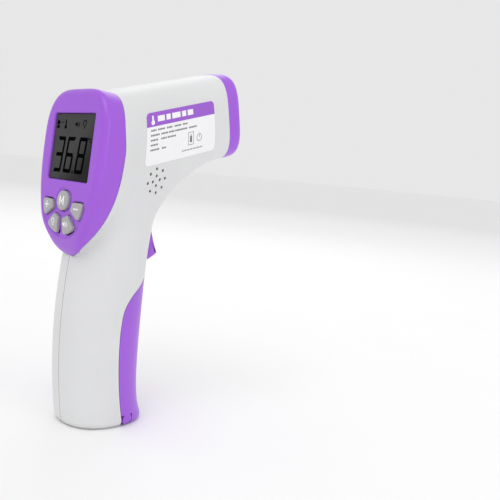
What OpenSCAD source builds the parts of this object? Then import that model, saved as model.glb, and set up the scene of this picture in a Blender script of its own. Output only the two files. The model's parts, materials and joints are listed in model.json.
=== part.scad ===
// Pistol-grip infrared thermometer: two shell halves, a display bezel, a sensing nose,
// a trigger and a battery cover.  Millimetres, +Z up, nose towards +Y, display towards -Y.
// The origin is the middle of the grip's flat base.

/* [Body] */
// Width of the display bezel
bezel_w = 44; // [43:0.5:45]
// Wall thickness of the shells and the battery cover
wall = 2; // [1.8:0.1:2.2]
// Width of the grip
grip_w = 31; // [30.5:0.5:32]
// Width of the nose
nose_w = 30.7; // [30:0.1:32]
// Height of the nose
nose_h = 39.9; // [39:0.1:41]
// Upward pitch of the barrel in degrees
pitch = 13.6; // [12:0.2:15]

/* [Display] */
// Width of the display window
lcd_w = 28.6; // [28:0.1:29]
// Height of the display window
lcd_h = 27.7; // [27:0.1:28]
// Backward lean of the display face in degrees
lean = 2.9; // [2:0.1:4]
// How far the window lies below the face
window_sink = 0.8; // [0.5:0.1:1]

/* [Keys] */
// Radius of the round middle key
mode_r = 4.1; // [3.9:0.1:4.3]
// Inner radius of the ring of four keys
ring_in = 7.1; // [6.8:0.1:7.4]
// Outer radius of the ring of four keys
ring_out = 14; // [13.6:0.1:14.2]
// Gap around each key
key_gap = 0.3; // [0.25:0.05:0.4]
// How far the keys stand above the face
key_proud = 1; // [0.8:0.1:1.2]

/* [Battery cover and trigger] */
// Gap between the cover and the shells
cover_gap = 0.3; // [0.25:0.05:0.4]
// Width of the trigger
trigger_w = 13; // [12:0.5:14]

/* [Hidden] */

white = "#f2f2f0";
purple = "#a35ddc";
grey = "#a9a7ac";
dark = "#2c2c2e";
board_green = "#1f6b45";
gold = "#d9b45a";
steel = "#c9ccd0";

big = 300;

// Display face: its middle point, and half sizes of its outline above and below it
face_y = -26.6;
face_z = 117.9;
bezel_up = 24.15;
bezel_down = 44.6;
face_points = 40;

// Nose joint: the middle of the plane where the ring meets the barrel
nose_y = 49.8;
nose_z = 138.7;
ring_len = 8.8;
nose_n = 3.5;

// Grip and battery cover
grip_top = 99;
grip_n = 2.3;
grip_points = 32;
hinge_y = 5;
hinge_z = 3;
knuckle_r = 2.6;
pin_r = 0.8;
run_gap = 0.05;

// Trigger
trigger_y = 10.6;
trigger_z = 85.4;
trigger_low = 70.6;
trigger_high = 89;

// Display stack, as depths below the face
face_wall = 1.6;
window_t = 1;
panel_z = window_sink + window_t + 0.2;
panel_t = 1.8;
stack_z = panel_z + panel_t;
board_z = 5.4;
board_t = 1.2;
mode_s = -22.2;
key_travel = 0.5;
switch_h = 1.9;

// Batteries, size AAA, standing side by side in the grip
cell_r = 5.25;
cell_l = 44.5;
cell_x = 5.45;
cell_y = 1.5;
cell_z = 8.3;
tray_x = 12.2;
tray_back = -5.4;
tray_front = 3.6;
tray_low = 5.6;
tray_high = 56.4;
tray_t = 1.3;

// Middle of the speaker and of its holes
speaker_y = 6.2;
speaker_z = 107.1;
speaker_r = 7.2;
speaker_x = 7.4;

// Sizes of the screws that close the shells, and their places as [y, z]
screw_r = 1.1;
head_r = 2.4;
boss_r = 2.9;
shell_screw_at = [[35, 148.5], [0, 140], [28, 112.6], [-16.6, 64], [-14.6, 8.6]];
board_post_at = [[-13, 18.6], [13, 18.6], [-16.6, -14.6], [16.6, -14.6]];

// Mix of two values
function blend(a, b, t) = a * (1 - t) + b * t;

// Radius of a superellipse with half sizes a and b and exponent n, in direction f
function super_r(a, b, n, f) = pow(pow(abs(cos(f)) / a, n) + pow(abs(sin(f)) / b, n), -1 / n);

// Outline of the display bezel, drawn in by d: nearly square above, a long half ellipse below
function narrow(s) = 1 - 0.149 * pow(max(0, s - 3.8) / 20, 2);
function upper(d, f) = super_r(bezel_w / 2 - d, bezel_up - d, 4.4, f) * [cos(f), sin(f)];
function lower(d, f) = [sign(cos(f)) * (bezel_w / 2 - d) * pow(abs(cos(f)), 0.93),
    -(bezel_down - d) * pow(abs(sin(f)), 0.93)];
function face_at(d, f, k = 1) = let (p = (sin(f) >= 0 ? upper(d, f) : lower(d, f)) * k)
    [p.x * narrow(p.y), p.y];

// Depth of the face below its plane, which rolls back at the chin, and depth of the bezel's rear edge
function roll(s) = 5.75 * pow(max(0, -28 - s) / 17.2, 2);
function rim_above(s) = 11.5 - 1.9 * (1 - exp(-pow((s + 1) / 8, 2)));
function rim_below(s) = 11.5 - 10.5 * pow((-1 - s) / 44.2, 2.2);
function rim(s) = s > -1 ? rim_above(s)
    : pow(pow(max(0.5, rim_below(s)), 4) + pow(roll(s) + 1, 4), 0.25);

// A point of the face's frame, x across, s up the face and d deep, in the model's frame
function face_point(x, s, d) = [x, face_y + s * sin(lean) + d * cos(lean),
    face_z + s * cos(lean) - d * sin(lean)];
function face_ring(inset, k, depth) = [for (i = [0 : face_points - 1])
    let (f = 360 * i / face_points, p = face_at(inset, f, k)) face_point(p.x, p.y, depth(p.y))];

// Outline of the nose, drawn in by d, at a distance t along the barrel from the nose joint
function nose_ring_at(d, t) = [for (i = [0 : face_points - 1])
    let (f = 360 * i / face_points, r = super_r(nose_w / 2 - d, nose_h / 2 - d, nose_n, f),
        w = r * sin(f))
    [r * cos(f), nose_y + t * cos(pitch) - w * sin(pitch), nose_z + t * sin(pitch) + w * cos(pitch)]];

// Rings of the barrel from the bezel, t = 0, to the nose, t = 1.  Under the barrel the skin
// rises behind the chin, dips at the grip's corner and hollows towards the nose.
humps = [[0, 0.4, 3.5], [0.4, 0.6, -2.6], [0.6, 1, 2.9]];
function under(t) = vsum([for (h = humps) if (t > h[0] && t < h[1])
    h[2] * sin(180 * (t - h[0]) / (h[1] - h[0]))]);
function barrel_ring(inset, t, from, to) = [for (i = [0 : face_points - 1])
    let (f = 360 * i / face_points)
    blend(from[i], to[i], t) + [0, 0, under(t) * pow((1 - sin(f)) / 2, 3)]];

// Grip: lines of its back, its front and its rounded foot
function grip_back(z) = -23.9 + 0.0023 * pow(z - 46, 2);
function grip_front(z) = 15 + 6.5 * exp(-z / 9) + 2.7 * pow(max(0, z - 60) / 35, 2);
function foot(z) = z < 3 ? 3 - sqrt(9 - pow(3 - z, 2)) : 0;
function grip_ring(inset, z) = let (back = grip_back(z) + inset + foot(z),
        front = grip_front(z) - inset - foot(z), half = grip_w / 2 - inset - foot(z))
    [for (i = [0 : grip_points - 1]) let (f = 360 * i / grip_points,
        r = super_r(half, (front - back) / 2, grip_n, f))
    [r * cos(f), (front + back) / 2 + r * sin(f), z]];

// Middle of a ring of points
function vsum(v) = len(v) == 0 ? 0 : [for (p = v) 1] * v;
function ring_middle(r) = [for (k = [0 : 2]) vsum([for (p = r) p[k]]) / len(r)];

// Closed skin over rings that all have the same number of points, which turn anticlockwise
// about the way that the rings run
function reversed(list) = [for (i = [len(list) - 1 : -1 : 0]) list[i]];
module skin(rings) {
    n = len(rings[0]);
    m = len(rings);
    sides = [for (j = [0 : m - 2], i = [0 : n - 1]) let (k = (i + 1) % n)
        [(j + 1) * n + i, (j + 1) * n + k, j * n + k, j * n + i]];
    first = [for (i = [0 : n - 1]) [i, (i + 1) % n, m * n]];
    last = [for (i = [0 : n - 1]) [(m - 1) * n + (i + 1) % n, (m - 1) * n + i, m * n + 1]];
    polyhedron([for (r = rings) each r, ring_middle(rings[0]), ring_middle(rings[m - 1])],
        concat(sides, first, last), convexity = 10);
}

// Round bar swept along a list of points
function unit(v) = v / norm(v);
function away(path, i) = unit(path[min(i + 1, len(path) - 1)] - path[max(i - 1, 0)]);
function sweep_ring(path, i, r, n) = let (a = away(path, i),
        u = unit(cross(a, abs(a.x) > 0.9 ? [0, 1, 0] : [1, 0, 0])), v = cross(a, u))
    [for (k = [0 : n - 1]) path[i] + r * (cos(360 * k / n) * u + sin(360 * k / n) * v)];
module sweep(path, r, n = 8) skin([for (i = [0 : len(path) - 1]) sweep_ring(path, i, r, n)]);

// Smooth route through a list of points
function bend(a, b, c, d, t) = 0.5 * (2 * b + (c - a) * t + (2 * a - 5 * b + 4 * c - d) * t * t
    + (3 * b - a - 3 * c + d) * t * t * t);
function spline(p, steps) = let (n = len(p)) concat([for (i = [0 : n - 2], k = [0 : steps - 1])
    bend(p[max(i - 1, 0)], p[i], p[i + 1], p[min(i + 2, n - 1)], k / steps)], [p[n - 1]]);

// One closed skin made of all its children, at their own size
module one_skin() resize([0, 0, 0]) union() children();

// Frames of the display face, x across, y up the face, z out of it, and of the barrel, z forward
module on_face() translate([0, face_y, face_z]) rotate([90 - lean, 0, 0]) children();
module in_barrel() translate([0, nose_y, nose_z]) rotate([pitch - 90, 0, 0])
    rotate([0, 0, 180]) children();
module across(y, z) translate([0, y, z]) rotate([0, 90, 0]) children();
module rod_x(x0, x1, y, z, r, sides = 48) translate([x0, y, z]) rotate([0, 90, 0])
    cylinder(r = r, h = x1 - x0, $fn = sides);
module box(low, high) translate(low) cube(high - low);
module face_slab(top, thick, inset) translate([0, 0, -top - thick]) linear_extrude(thick)
    polygon([for (i = [0 : face_points - 1]) face_at(inset, 360 * i / face_points)]);
module pill(w, h, r) {
    square([w - 2 * r, h], center = true);
    square([w, h - 2 * r], center = true);
    for (x = [-1, 1], y = [-1, 1])
        translate([x * (w / 2 - r), y * (h / 2 - r)]) circle(r, $fn = 32);
}

// Body: the barrel and the grip, drawn in by the given amount
barrel_steps = [0, 0.1, 0.2, 0.3, 0.4, 0.5, 0.6, 0.7, 0.8, 0.9, 1];
grip_steps = [0, 0.8, 1.8, 3, 6, 11, 18, 28, 42, 56, 70, 80, 90, grip_top];
module barrel(inset, back, front) {
    from = face_ring(inset, 1, function(s) rim(s) + back);
    to = nose_ring_at(inset, front);
    skin([for (t = reversed(barrel_steps)) barrel_ring(inset, t, from, to)]);
}
module grip(inset, low) {
    steps = [for (z = grip_steps) if (z > low + 0.5) z];
    skin(concat([grip_ring(inset, low)], [for (z = steps) grip_ring(inset, z)],
        [grip_ring(inset + 2.5, grip_top + 5)]));
}
module body_outside() {
    barrel(0, 0.2, 0);
    grip(0, 0);
}
module body_inside() {
    barrel(wall, -1.1, -1);
    grip(wall, wall);
}

// Side view of the battery cover, grown by g, as an upright sheet across the grip
function seam_y(z) = -3.4 + 0.0034 * pow(42 - z, 2);
seam_top = [[-3.4, 42], [-2.4, 50.6], [1.2, 56.6], [6.5, 60.9], [16, 68.6]];
cover_side = concat([for (z = [3.5 : 5.5 : 36.5]) [seam_y(z), z]], spline(seam_top, 3),
    [[30, 80], [30, -5], [hinge_y, -5], [hinge_y - 3.2, 1]]);
module cover_block(g) translate([-big / 2, 0, 0]) rotate([90, 0, 90]) linear_extrude(big)
    offset(delta = g) polygon(cover_side);

// Mouth of the barrel, behind the nose ring
module barrel_mouth() in_barrel() translate([0, 0, -3]) linear_extrude(6)
    polygon([for (i = [0 : face_points - 1]) let (f = 360 * (i + 0.5) / face_points,
        r = super_r(nose_w / 2 - wall - 0.3, nose_h / 2 - wall - 0.3, nose_n, f))
        r * [cos(f), sin(f)]]);

// Opening in the front of the grip for the trigger
module trigger_slot() box([-trigger_w / 2 - 0.35, 8, trigger_low - 0.6],
    [trigger_w / 2 + 0.35, 30, trigger_high]);

// Ribs that carry the battery tray and the trigger's pin
module shell_ribs() {
    for (z = [16, 48]) box([-20, -30, z], [20, tray_back, z + 1.5]);
    for (x = [-9, 9 - wall]) box([x, 8, trigger_z - 3.4], [x + wall, 22, trigger_z + 3.4]);
}
module half_shell(side) {
    difference() {
        one_skin() difference() {
            body_outside();
            difference() {
                body_inside();
                for (p = shell_screw_at) rod_x(-25, 25, p.x, p.y, boss_r, 20);
                shell_ribs();
            }
            translate([side > 0 ? -big : 0, -big / 2, -big / 4]) cube(big);
            cover_block(cover_gap);
            trigger_slot();
            barrel_mouth();
            if (side < 0)
                for (p = shell_screw_at) rod_x(-30, -8, p.x, p.y, head_r + 0.2, 32);
        }
        rod_x(-9, 9, trigger_y, trigger_z, pin_r + run_gap);
        for (p = shell_screw_at) rod_x(-25, 4, p.x, p.y, screw_r);
    }
}
module left_shell() color(white) half_shell(-1);
module right_shell() color(white) difference() {
    half_shell(1);
    speaker_holes();
}
module speaker_holes() for (ring = [[4, 2.15], [8, 5.25]], i = [1 : ring[0]])
    let (a = 15 + 360 * i / ring[0])
    rod_x(14.7, 24, speaker_y + ring[1] * cos(a), speaker_z + ring[1] * sin(a), 0.6);

// Pan-head screws driven in from the left
module shell_screws() color(steel) for (p = shell_screw_at) {
    rod_x(-8, 3, p.x, p.y, screw_r);
    difference() {
        rod_x(-9.6, -8, p.x, p.y, head_r);
        for (a = [0, 90]) across(p.x, p.y) rotate(a)
            translate([-0.3, -1.3, -9.7]) cube([0.6, 2.6, 1]);
    }
}

// Display bezel: a face with a rounded edge, side walls, and a lip inside the shells
module bezel_outside() {
    turn = [[3.2, 0], [1.5, 0.16], [0.5, 0.45], [0, 1]];
    skin(reversed(concat([for (k = [0.3, 0.6, 0.8]) face_ring(3.2, k, function(s) roll(s))],
        [for (e = turn) face_ring(e[0], 1,
            function(s) roll(s) + e[1] * min(2.6, 0.8 * (rim(s) - roll(s))))],
        [face_ring(0, 1, function(s) rim(s))])));
}
module bezel_inside() skin(reversed(concat(
    [for (k = [0.3, 0.6, 0.8, 1]) face_ring(4, k, function(s) roll(s) + face_wall)],
    [face_ring(wall, 1, function(s) roll(s) + face_wall + 1.2),
    face_ring(wall, 1, function(s) rim(s) + 4)])));
module key_well() {
    translate([0, mode_s, 0]) intersection() {
        circle(ring_out + 1.2, $fn = 64);
        translate([-20, -22.6]) square([40, 22]);
    }
    translate([0, mode_s]) circle(mode_r + 1.4, $fn = 48);
}
module face_bezel() color(purple) difference() {
    one_skin() {
        difference() {
            bezel_outside();
            bezel_inside();
        }
        on_face() for (p = board_post_at)
            translate([p.x, p.y, -board_z]) cylinder(r = 1.6, h = board_z - 1.2, $fn = 24);
    }
    on_face() {
        translate([0, 0, -4]) linear_extrude(8) pill(lcd_w, lcd_h, 1);
        translate([0, 0, -0.4]) linear_extrude(2) key_well();
        translate([0, 0, -4]) linear_extrude(8) {
            translate([0, mode_s]) circle(mode_r + key_gap, $fn = 48);
            for (side = [-1, 1]) {
                plus_key_shape(side, key_gap);
                light_key_shape(side, key_gap);
            }
        }
        for (p = board_post_at) translate([p.x, p.y, -board_z - 1])
            cylinder(r = 0.8, h = 4.6, $fn = 24);
    }
}

// Display stack
module lcd_window() color(dark) on_face() translate([0, 0, -window_sink - window_t])
    linear_extrude(window_t) pill(lcd_w - 0.1, lcd_h - 0.1, 0.95);
module lcd_panel() color("#5a5d5a") on_face() translate([0, 0, -stack_z])
    linear_extrude(panel_t) square([29.6, 28.6], center = true);
module backlight_diffuser() color("#eeeeea") on_face() translate([0, 0, -board_z + 0.1])
    linear_extrude(board_z - stack_z - 0.2) square([27.6, 21.6], center = true);
module backlight_leds() color("#f4e7b0") on_face() for (y = [-6, 6])
    translate([14.9, y, -board_z]) linear_extrude(1.2) square([1.8, 3], center = true);
module zebra_strips() color("#d98aa8") on_face() for (s = [-1, 1])
    translate([0, s * 12.6, -board_z]) linear_extrude(board_z - stack_z)
        square([26, 1.8], center = true);

// Main board, its parts, the switches under the keys and the screws that hold it
module main_board() color(board_green) on_face() difference() {
    intersection() {
        face_slab(board_z, board_t, wall + 1.1);
        translate([-25, -34, -board_z - 5]) cube([50, 55, 10]);
    }
    for (p = board_post_at) translate([p.x, p.y, -board_z - 3]) cylinder(r = 1.1, h = 5, $fn = 24);
}
module on_board(x, s, w, h, t) translate([x, s, -board_z - board_t - t / 2])
    cube([w, h, t], center = true);
module board_chips() color(dark) on_face() {
    on_board(0, 2, 10, 10, 1.6);
    on_board(-9, -14, 5, 6.2, 1.6);
    on_board(9, -14, 8, 2.6, 2.2);
    on_board(11, 12, 5, 3.2, 1.2);
    for (x = [-11, -8, -5]) on_board(x, 13, 2, 1.25, 0.8);
    translate([-10, -24, -board_z - board_t - 5]) cylinder(r = 2.5, h = 5, $fn = 32);
}
module key_switches() color(steel) on_face() for (p = key_at)
    translate([p.x, p.y, -board_z]) {
        linear_extrude(1.3) square([4.6, 4.6], center = true);
        cylinder(r = 1.1, h = switch_h, $fn = 32);
    }
module board_screws() color(steel) on_face() for (p = board_post_at) {
    translate([p.x, p.y, -board_z - board_t]) cylinder(r = 0.8, h = 4.4, $fn = 24);
    translate([p.x, p.y, -board_z - board_t - 1.2]) cylinder(r = 1.7, h = 1.2, $fn = 24);
}

// Keys: a round one and four slices of a ring round it
key_at = [[0, mode_s], [-10.6, mode_s - 3.6], [10.6, mode_s - 3.6], [-4.3, mode_s - 9.6],
    [4.3, mode_s - 9.6]];
module ring_slice(from, to, g) {
    middle_r = (ring_in + ring_out) / 2;
    intersection() {
        difference() {
            circle(ring_out + g, $fn = 64);
            circle(ring_in - g, $fn = 64);
        }
        offset(delta = g) polygon([middle_r * 0.12 * [cos((from + to) / 2), sin((from + to) / 2)],
            30 * [cos(from), sin(from)], 30 * [cos(to), sin(to)]]);
    }
}
module plus_key_shape(side, g) translate([0, mode_s]) mirror([side < 0 ? 1 : 0, 0])
    ring_slice(-33, 2, g);
module light_key_shape(side, g) translate([0, mode_s]) mirror([side < 0 ? 1 : 0, 0])
    ring_slice(-83, -46, g);
module key_body(at, stem_r = 1.4) {
    rise = face_wall + key_proud + 0.3;
    stem_low = switch_h + key_travel + 0.1 - board_z;
    on_face() {
        translate([0, 0, key_proud - 0.5 - (rise - 0.5)]) linear_extrude(rise - 0.5) children(0);
        translate([0, 0, key_proud - 0.5]) linear_extrude(0.5) offset(delta = -0.5) children(0);
        translate([0, 0, -face_wall - 0.9]) linear_extrude(0.6) intersection() {
            offset(delta = 0.7) children(0);
            translate([-20, -29.6]) square([40, 20]);
        }
        translate([at.x, at.y, stem_low])
            cylinder(r = stem_r, h = key_proud - rise - stem_low, $fn = 32);
    }
}
module mode_button() color(grey) key_body(key_at[0])
    translate([0, mode_s]) circle(mode_r, $fn = 48);
module plus_button() color(grey) key_body(key_at[1]) plus_key_shape(-1, 0);
module minus_button() color(grey) key_body(key_at[2]) plus_key_shape(1, 0);
module light_button() color(grey) key_body(key_at[3]) light_key_shape(-1, 0);
module sound_button() color(grey) key_body(key_at[4]) light_key_shape(1, 0);

// Nose: coloured ring, black hood with a cone, gilt tube, sensor can, board and holder
module nose_ring() color(purple) one_skin() difference() {
    skin([for (e = [[2, ring_len], [1, 8.2], [0.35, 7.2], [0, 5.6], [0, 0.5], [0.35, 0.05]])
        nose_ring_at(e[0], e[1])]);
    skin([for (t = [12, -1]) nose_ring_at(2.6, t)]);
}
module nose_plate(inset, t, thick) translate([0, 0, t]) linear_extrude(thick)
    polygon([for (i = [0 : face_points - 1]) let (f = 360 * i / face_points,
        r = super_r(nose_w / 2 - inset, nose_h / 2 - inset, nose_n, f)) r * [cos(f), sin(f)]]);
module sensor_hood() color(dark) in_barrel() difference() {
    union() {
        nose_plate(2.7, 5.2, 1.6);
        translate([0, 0, -6]) cylinder(r1 = 7, r2 = 11.2, h = 11.4, $fn = 64);
    }
    translate([0, 0, -4.6]) cylinder(r1 = 4.1, r2 = 9.8, h = 11.41, $fn = 64);
    translate([0, 0, -7]) cylinder(r = 4.1, h = 3, $fn = 64);
}
module waveguide() color(gold) in_barrel() difference() {
    translate([0, 0, -12]) cylinder(r = 4, h = 7.8, $fn = 64);
    translate([0, 0, -13]) cylinder(r = 3.2, h = 12, $fn = 64);
}
module thermopile_sensor() color(steel) in_barrel() {
    difference() {
        translate([0, 0, -16.4]) cylinder(r = 4.1, h = 4.2, $fn = 48);
        translate([0, 0, -13]) cylinder(r = 1.5, h = 2, $fn = 32);
    }
    translate([0, 0, -17]) cylinder(r = 4.6, h = 0.6, $fn = 48);
    for (a = [45 : 90 : 315]) rotate(a) translate([2.5, 0, -20.4])
        cylinder(r = 0.25, h = 3.4, $fn = 16);
}
module sensor_board() color(board_green) in_barrel() difference() {
    translate([0, 0, -18.8]) cylinder(r = 8, h = 1.2, $fn = 48);
    for (a = [45 : 90 : 315]) rotate(a) translate([2.5, 0, -20]) cylinder(r = 0.25, h = 4, $fn = 16);
}
module sensor_holder() color("#d8d8d6") in_barrel() difference() {
    translate([0, 0, -17.6]) cylinder(r = 8, h = 11.6, $fn = 64);
    translate([0, 0, -18]) cylinder(r = 4.65, h = 6, $fn = 64);
    translate([0, 0, -18]) cylinder(r = 4.15, h = 14, $fn = 64);
}
sensor_lead = [[-9, 31, 133], [-9.5, 26, 132], [-10, 16, 130], [-9.5, 4, 129], [-8.5, -6, 128],
    [-8, -13, 127]];
module sensor_cable() color("#4a4a4d") for (k = [0 : 3])
    sweep([for (p = spline(sensor_lead, 3)) p + [0, 0, 1.1 * k]], 0.5, 6);

// Loudspeaker against the right wall
module speaker() color(dark) difference() {
    rod_x(speaker_x, speaker_x + 3.6, speaker_y, speaker_z, speaker_r);
    rod_x(speaker_x + 2.8, speaker_x + 4, speaker_y, speaker_z, speaker_r - 1);
}
module speaker_gasket() color("#1c1c1e") difference() {
    rod_x(speaker_x + 3.6, speaker_x + 4.6, speaker_y, speaker_z, speaker_r);
    rod_x(speaker_x + 3, speaker_x + 5, speaker_y, speaker_z, speaker_r - 1.6);
}
module wire_pair(route, gap) for (k = [0, 1])
    color(k == 0 ? "#b5342c" : "#232325") sweep([for (p = spline(route, 3)) p + k * gap], 0.5, 6);
module speaker_wires() wire_pair([[speaker_x - 0.6, 3, 106], [5.6, -1, 107], [5, -8, 108], [3, -13, 109],
    [2, -15.6, 109]], [0, 0, 1.6]);

// Trigger: a wedge on a steel pin, its torsion spring and the switch that it works
trigger_side = [[14.6, trigger_high - 1.2], [16, trigger_high - 1.9], [17.2, 84], [21.2, 74.6],
    [20.9, 73.9], [15, trigger_low], [10, trigger_low], [10, 80], [8.6, 83.4], [8.2, 86],
    [9.6, 88]];
module trigger() color(purple) difference() {
    translate([-trigger_w / 2, 0, 0]) rotate([90, 0, 90]) linear_extrude(trigger_w)
        polygon(trigger_side);
    rod_x(-trigger_w, trigger_w, trigger_y, trigger_z, pin_r + run_gap);
    rod_x(-2.2, 2.2, trigger_y, trigger_z, 2.3);
    box([-2.2, 5, 78], [2.2, trigger_y, trigger_z + 4]);
}
module trigger_pin() color(steel) rod_x(-9, 9, trigger_y, trigger_z, pin_r);
module trigger_spring() color(steel) sweep(concat([[-1.5, 7.3, 79]],
    [for (a = [0 : 30 : 1080]) [-1.5 + a / 360, trigger_y - 1.5 * cos(a), trigger_z + 1.5 * sin(a)]],
    [[1.5, 7.5, 92]]), 0.28, 6);
module trigger_switch() color(dark) {
    box([-3, 3.4, 71.4], [3, 6.4, 77.4]);
    translate([0, 6.4, 74.4]) rotate([-90, 0, 0]) cylinder(r = 1.2, h = 1, $fn = 32);
}
module trigger_board() color(board_green) box([-7, 2, 66.4], [7, 3.4, 82]);
module trigger_wires() wire_pair([[-2, 1.4, 80], [-3, -3, 83], [-4, -9, 86], [-3, -13, 88],
    [-2, -16, 90]], [2, 0, 0]);

// Battery tray, open to the front, with the hinge lug of the cover below it
module battery_tray() color("#e4e4e2") difference() {
    union() {
        box([-tray_x, tray_back, tray_low], [tray_x, tray_front, tray_high]);
        box([-7.6, hinge_y - 2, hinge_z], [7.6, hinge_y + 2, tray_low + tray_t]);
        rod_x(-7.6, 7.6, hinge_y, hinge_z, 2);
    }
    box([-tray_x + tray_t, tray_back + tray_t, tray_low + tray_t],
        [tray_x - tray_t, 20, tray_high - tray_t]);
    rod_x(-10, 10, hinge_y, hinge_z, pin_r);
}
module cell(x, up) translate([x, cell_y, up ? cell_z : cell_z + cell_l])
    rotate([up ? 0 : 180, 0, 0]) {
        cylinder(r = cell_r, h = cell_l - 1, $fn = 64);
        translate([0, 0, cell_l - 1]) cylinder(r = 1.9, h = 1, $fn = 48);
    }
module battery_left() color("#3f7fc4") cell(-cell_x, true);
module battery_right() color("#3f7fc4") cell(cell_x, false);

// Contacts: a cone spring at each flat end of a cell and a plate at each button end
plate_t = 0.4;
floor_z = tray_low + tray_t;
roof_z = tray_high - tray_t;
module contact_spring(x, from, to) sweep([for (a = [0 : 30 : 1080]) let (t = a / 1080,
        r = blend(3.6, 2, t))
    [x + r * cos(a), cell_y + r * sin(a), blend(from, to, t)]], 0.3, 6);
module battery_springs() color(steel) {
    contact_spring(-cell_x, floor_z + plate_t + 0.31, cell_z - 0.31);
    contact_spring(cell_x, roof_z - plate_t - 0.31, cell_z + cell_l + 0.31);
}
module battery_contacts() color(steel) {
    box([-10, -2.6, floor_z], [10, 5.4, floor_z + plate_t]);
    for (x = [-cell_x, cell_x])
        box([x - 4.4, -3.4, roof_z - plate_t], [x + 4.4, 3.4, roof_z]);
    translate([cell_x, cell_y, floor_z + plate_t])
        cylinder(r = 1.6, h = cell_z - floor_z - plate_t, $fn = 32);
    translate([-cell_x, cell_y, cell_z + cell_l])
        cylinder(r = 1.6, h = roof_z - plate_t - cell_z - cell_l, $fn = 32);
}
module battery_wires() wire_pair([[4, 0, tray_high + 0.6], [5, -4, 61], [5, -10, 70], [4, -15, 79],
    [3.4, -17, 86]], [-1.8, 0, 0]);

// Battery cover: the front of the grip, on two knuckles at its foot
module battery_cover() color(purple) difference() {
    one_skin() intersection() {
        grip(0, 0);
        cover_block(0);
        union() {
            difference() {
                union() {
                    box([-30, hinge_y + 3, 0], [30, 60, 100]);
                    box([-30, -30, hinge_z + 2], [30, 60, 100]);
                }
                grip(wall, wall);
            }
            for (s = [-1, 1]) {
                rod_x(s > 0 ? 8 : -20, s > 0 ? 20 : -8, hinge_y, hinge_z, knuckle_r);
                box([s > 0 ? 8 : -11, hinge_y, 0.6], [s > 0 ? 11 : -8, hinge_y + 4, 2.4]);
            }
        }
    }
    rod_x(-13, 13, hinge_y, hinge_z, pin_r + run_gap);
}
module cover_pin() color(steel) rod_x(-12.9, 12.9, hinge_y, hinge_z, pin_r);

// Printed label on the right side of the barrel
label_corners = [[-4.7, 134], [37.4, 145], [42, 123.3], [-3.2, 112.4]];
module side_label() color("white") one_skin() intersection() {
    difference() {
        barrel(-0.15, 0.2, 0);
        barrel(0, 0.2, 0);
    }
    rotate([90, 0, 90]) linear_extrude(40) offset(r = 2, $fn = 32) offset(delta = -2)
        polygon(label_corners);
}

left_shell();
right_shell();
shell_screws();
side_label();
face_bezel();
lcd_window();
lcd_panel();
backlight_diffuser();
backlight_leds();
zebra_strips();
main_board();
board_chips();
key_switches();
board_screws();
mode_button();
plus_button();
minus_button();
light_button();
sound_button();
nose_ring();
sensor_hood();
waveguide();
thermopile_sensor();
sensor_board();
sensor_holder();
sensor_cable();
speaker();
speaker_gasket();
speaker_wires();
trigger();
trigger_pin();
trigger_spring();
trigger_switch();
trigger_board();
trigger_wires();
battery_tray();
battery_left();
battery_right();
battery_springs();
battery_contacts();
battery_wires();
battery_cover();
cover_pin();
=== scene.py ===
"""Pistol-grip infrared thermometer: smooth shells, bezel, keys, display, label and finishes."""
import json
import math

import bmesh
import bpy
import numpy as np
from mathutils import Matrix, Vector
from mathutils.bvhtree import BVHTree


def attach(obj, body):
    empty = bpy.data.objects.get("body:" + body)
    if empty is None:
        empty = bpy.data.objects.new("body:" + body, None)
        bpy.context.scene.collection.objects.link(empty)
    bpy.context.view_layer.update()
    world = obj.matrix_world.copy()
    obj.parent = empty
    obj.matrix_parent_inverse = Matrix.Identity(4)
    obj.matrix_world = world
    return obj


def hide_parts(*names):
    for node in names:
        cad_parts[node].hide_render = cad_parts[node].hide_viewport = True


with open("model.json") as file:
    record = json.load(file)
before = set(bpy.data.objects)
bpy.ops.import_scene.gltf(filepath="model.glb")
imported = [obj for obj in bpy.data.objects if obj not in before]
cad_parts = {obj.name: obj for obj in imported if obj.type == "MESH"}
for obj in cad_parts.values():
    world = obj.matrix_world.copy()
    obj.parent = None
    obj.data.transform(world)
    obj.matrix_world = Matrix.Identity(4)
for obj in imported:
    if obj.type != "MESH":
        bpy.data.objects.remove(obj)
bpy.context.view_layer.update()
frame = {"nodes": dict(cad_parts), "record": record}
nodes = frame["nodes"]
MM = 0.001

# Sizes of the body in millimetres, as the solids have them
BEZEL_W, BEZEL_UP, BEZEL_DOWN = 44.0, 24.15, 44.6
WALL = 2.0
GRIP_W, GRIP_TOP, GRIP_N = 31.0, 99.0, 2.3
NOSE_W, NOSE_H, NOSE_N = 30.7, 39.9, 3.5
NOSE_Y, NOSE_Z, PITCH = 49.8, 138.7, math.radians(13.6)
FACE_Y, FACE_Z, LEAN = -26.6, 117.9, math.radians(2.9)
FACE_WALL = 1.6
LCD_W, LCD_H, WINDOW_SINK = 28.6, 27.7, 0.8
MODE_S, MODE_R, RING_IN, RING_OUT, KEY_GAP, KEY_PROUD = -22.2, 4.1, 7.1, 14.0, 0.3, 1.0
HINGE_Y, HINGE_Z, KNUCKLE_R, PIN_BORE, COVER_GAP = 5.0, 3.0, 2.6, 0.85, 0.3
TRIGGER_Y, TRIGGER_Z, TRIGGER_W = 10.6, 85.4, 13.0
SPEAKER_Y, SPEAKER_Z, SPEAKER_RINGS = 6.2, 107.1, ((4, 2.15), (8, 5.25))
CELL_R, CELL_L, CELL_X, CELL_Y, CELL_Z = 5.25, 44.5, 5.45, 1.5, 8.3
SCREWS = [(35, 148.5), (0, 140), (28, 112.6), (-16.6, 64), (-14.6, 8.6)]

# Finer sizes of the smooth pieces. A speaker hole's radius is 0.1 mm above that of the solids
FACE_ROUND, RIM_ROUND, BEZEL_GAP, SEAM_CHAMFER = 3.2, 2.6, 0.2, 0.22
FILLET, SHARP = 7.0, 0.4
SPEAKER_HOLE, SCREW_RECESS = 0.7, 2.6
LABEL_W, LABEL_H, LABEL_BAND = 43.0, 21.6, 5.75

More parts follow.
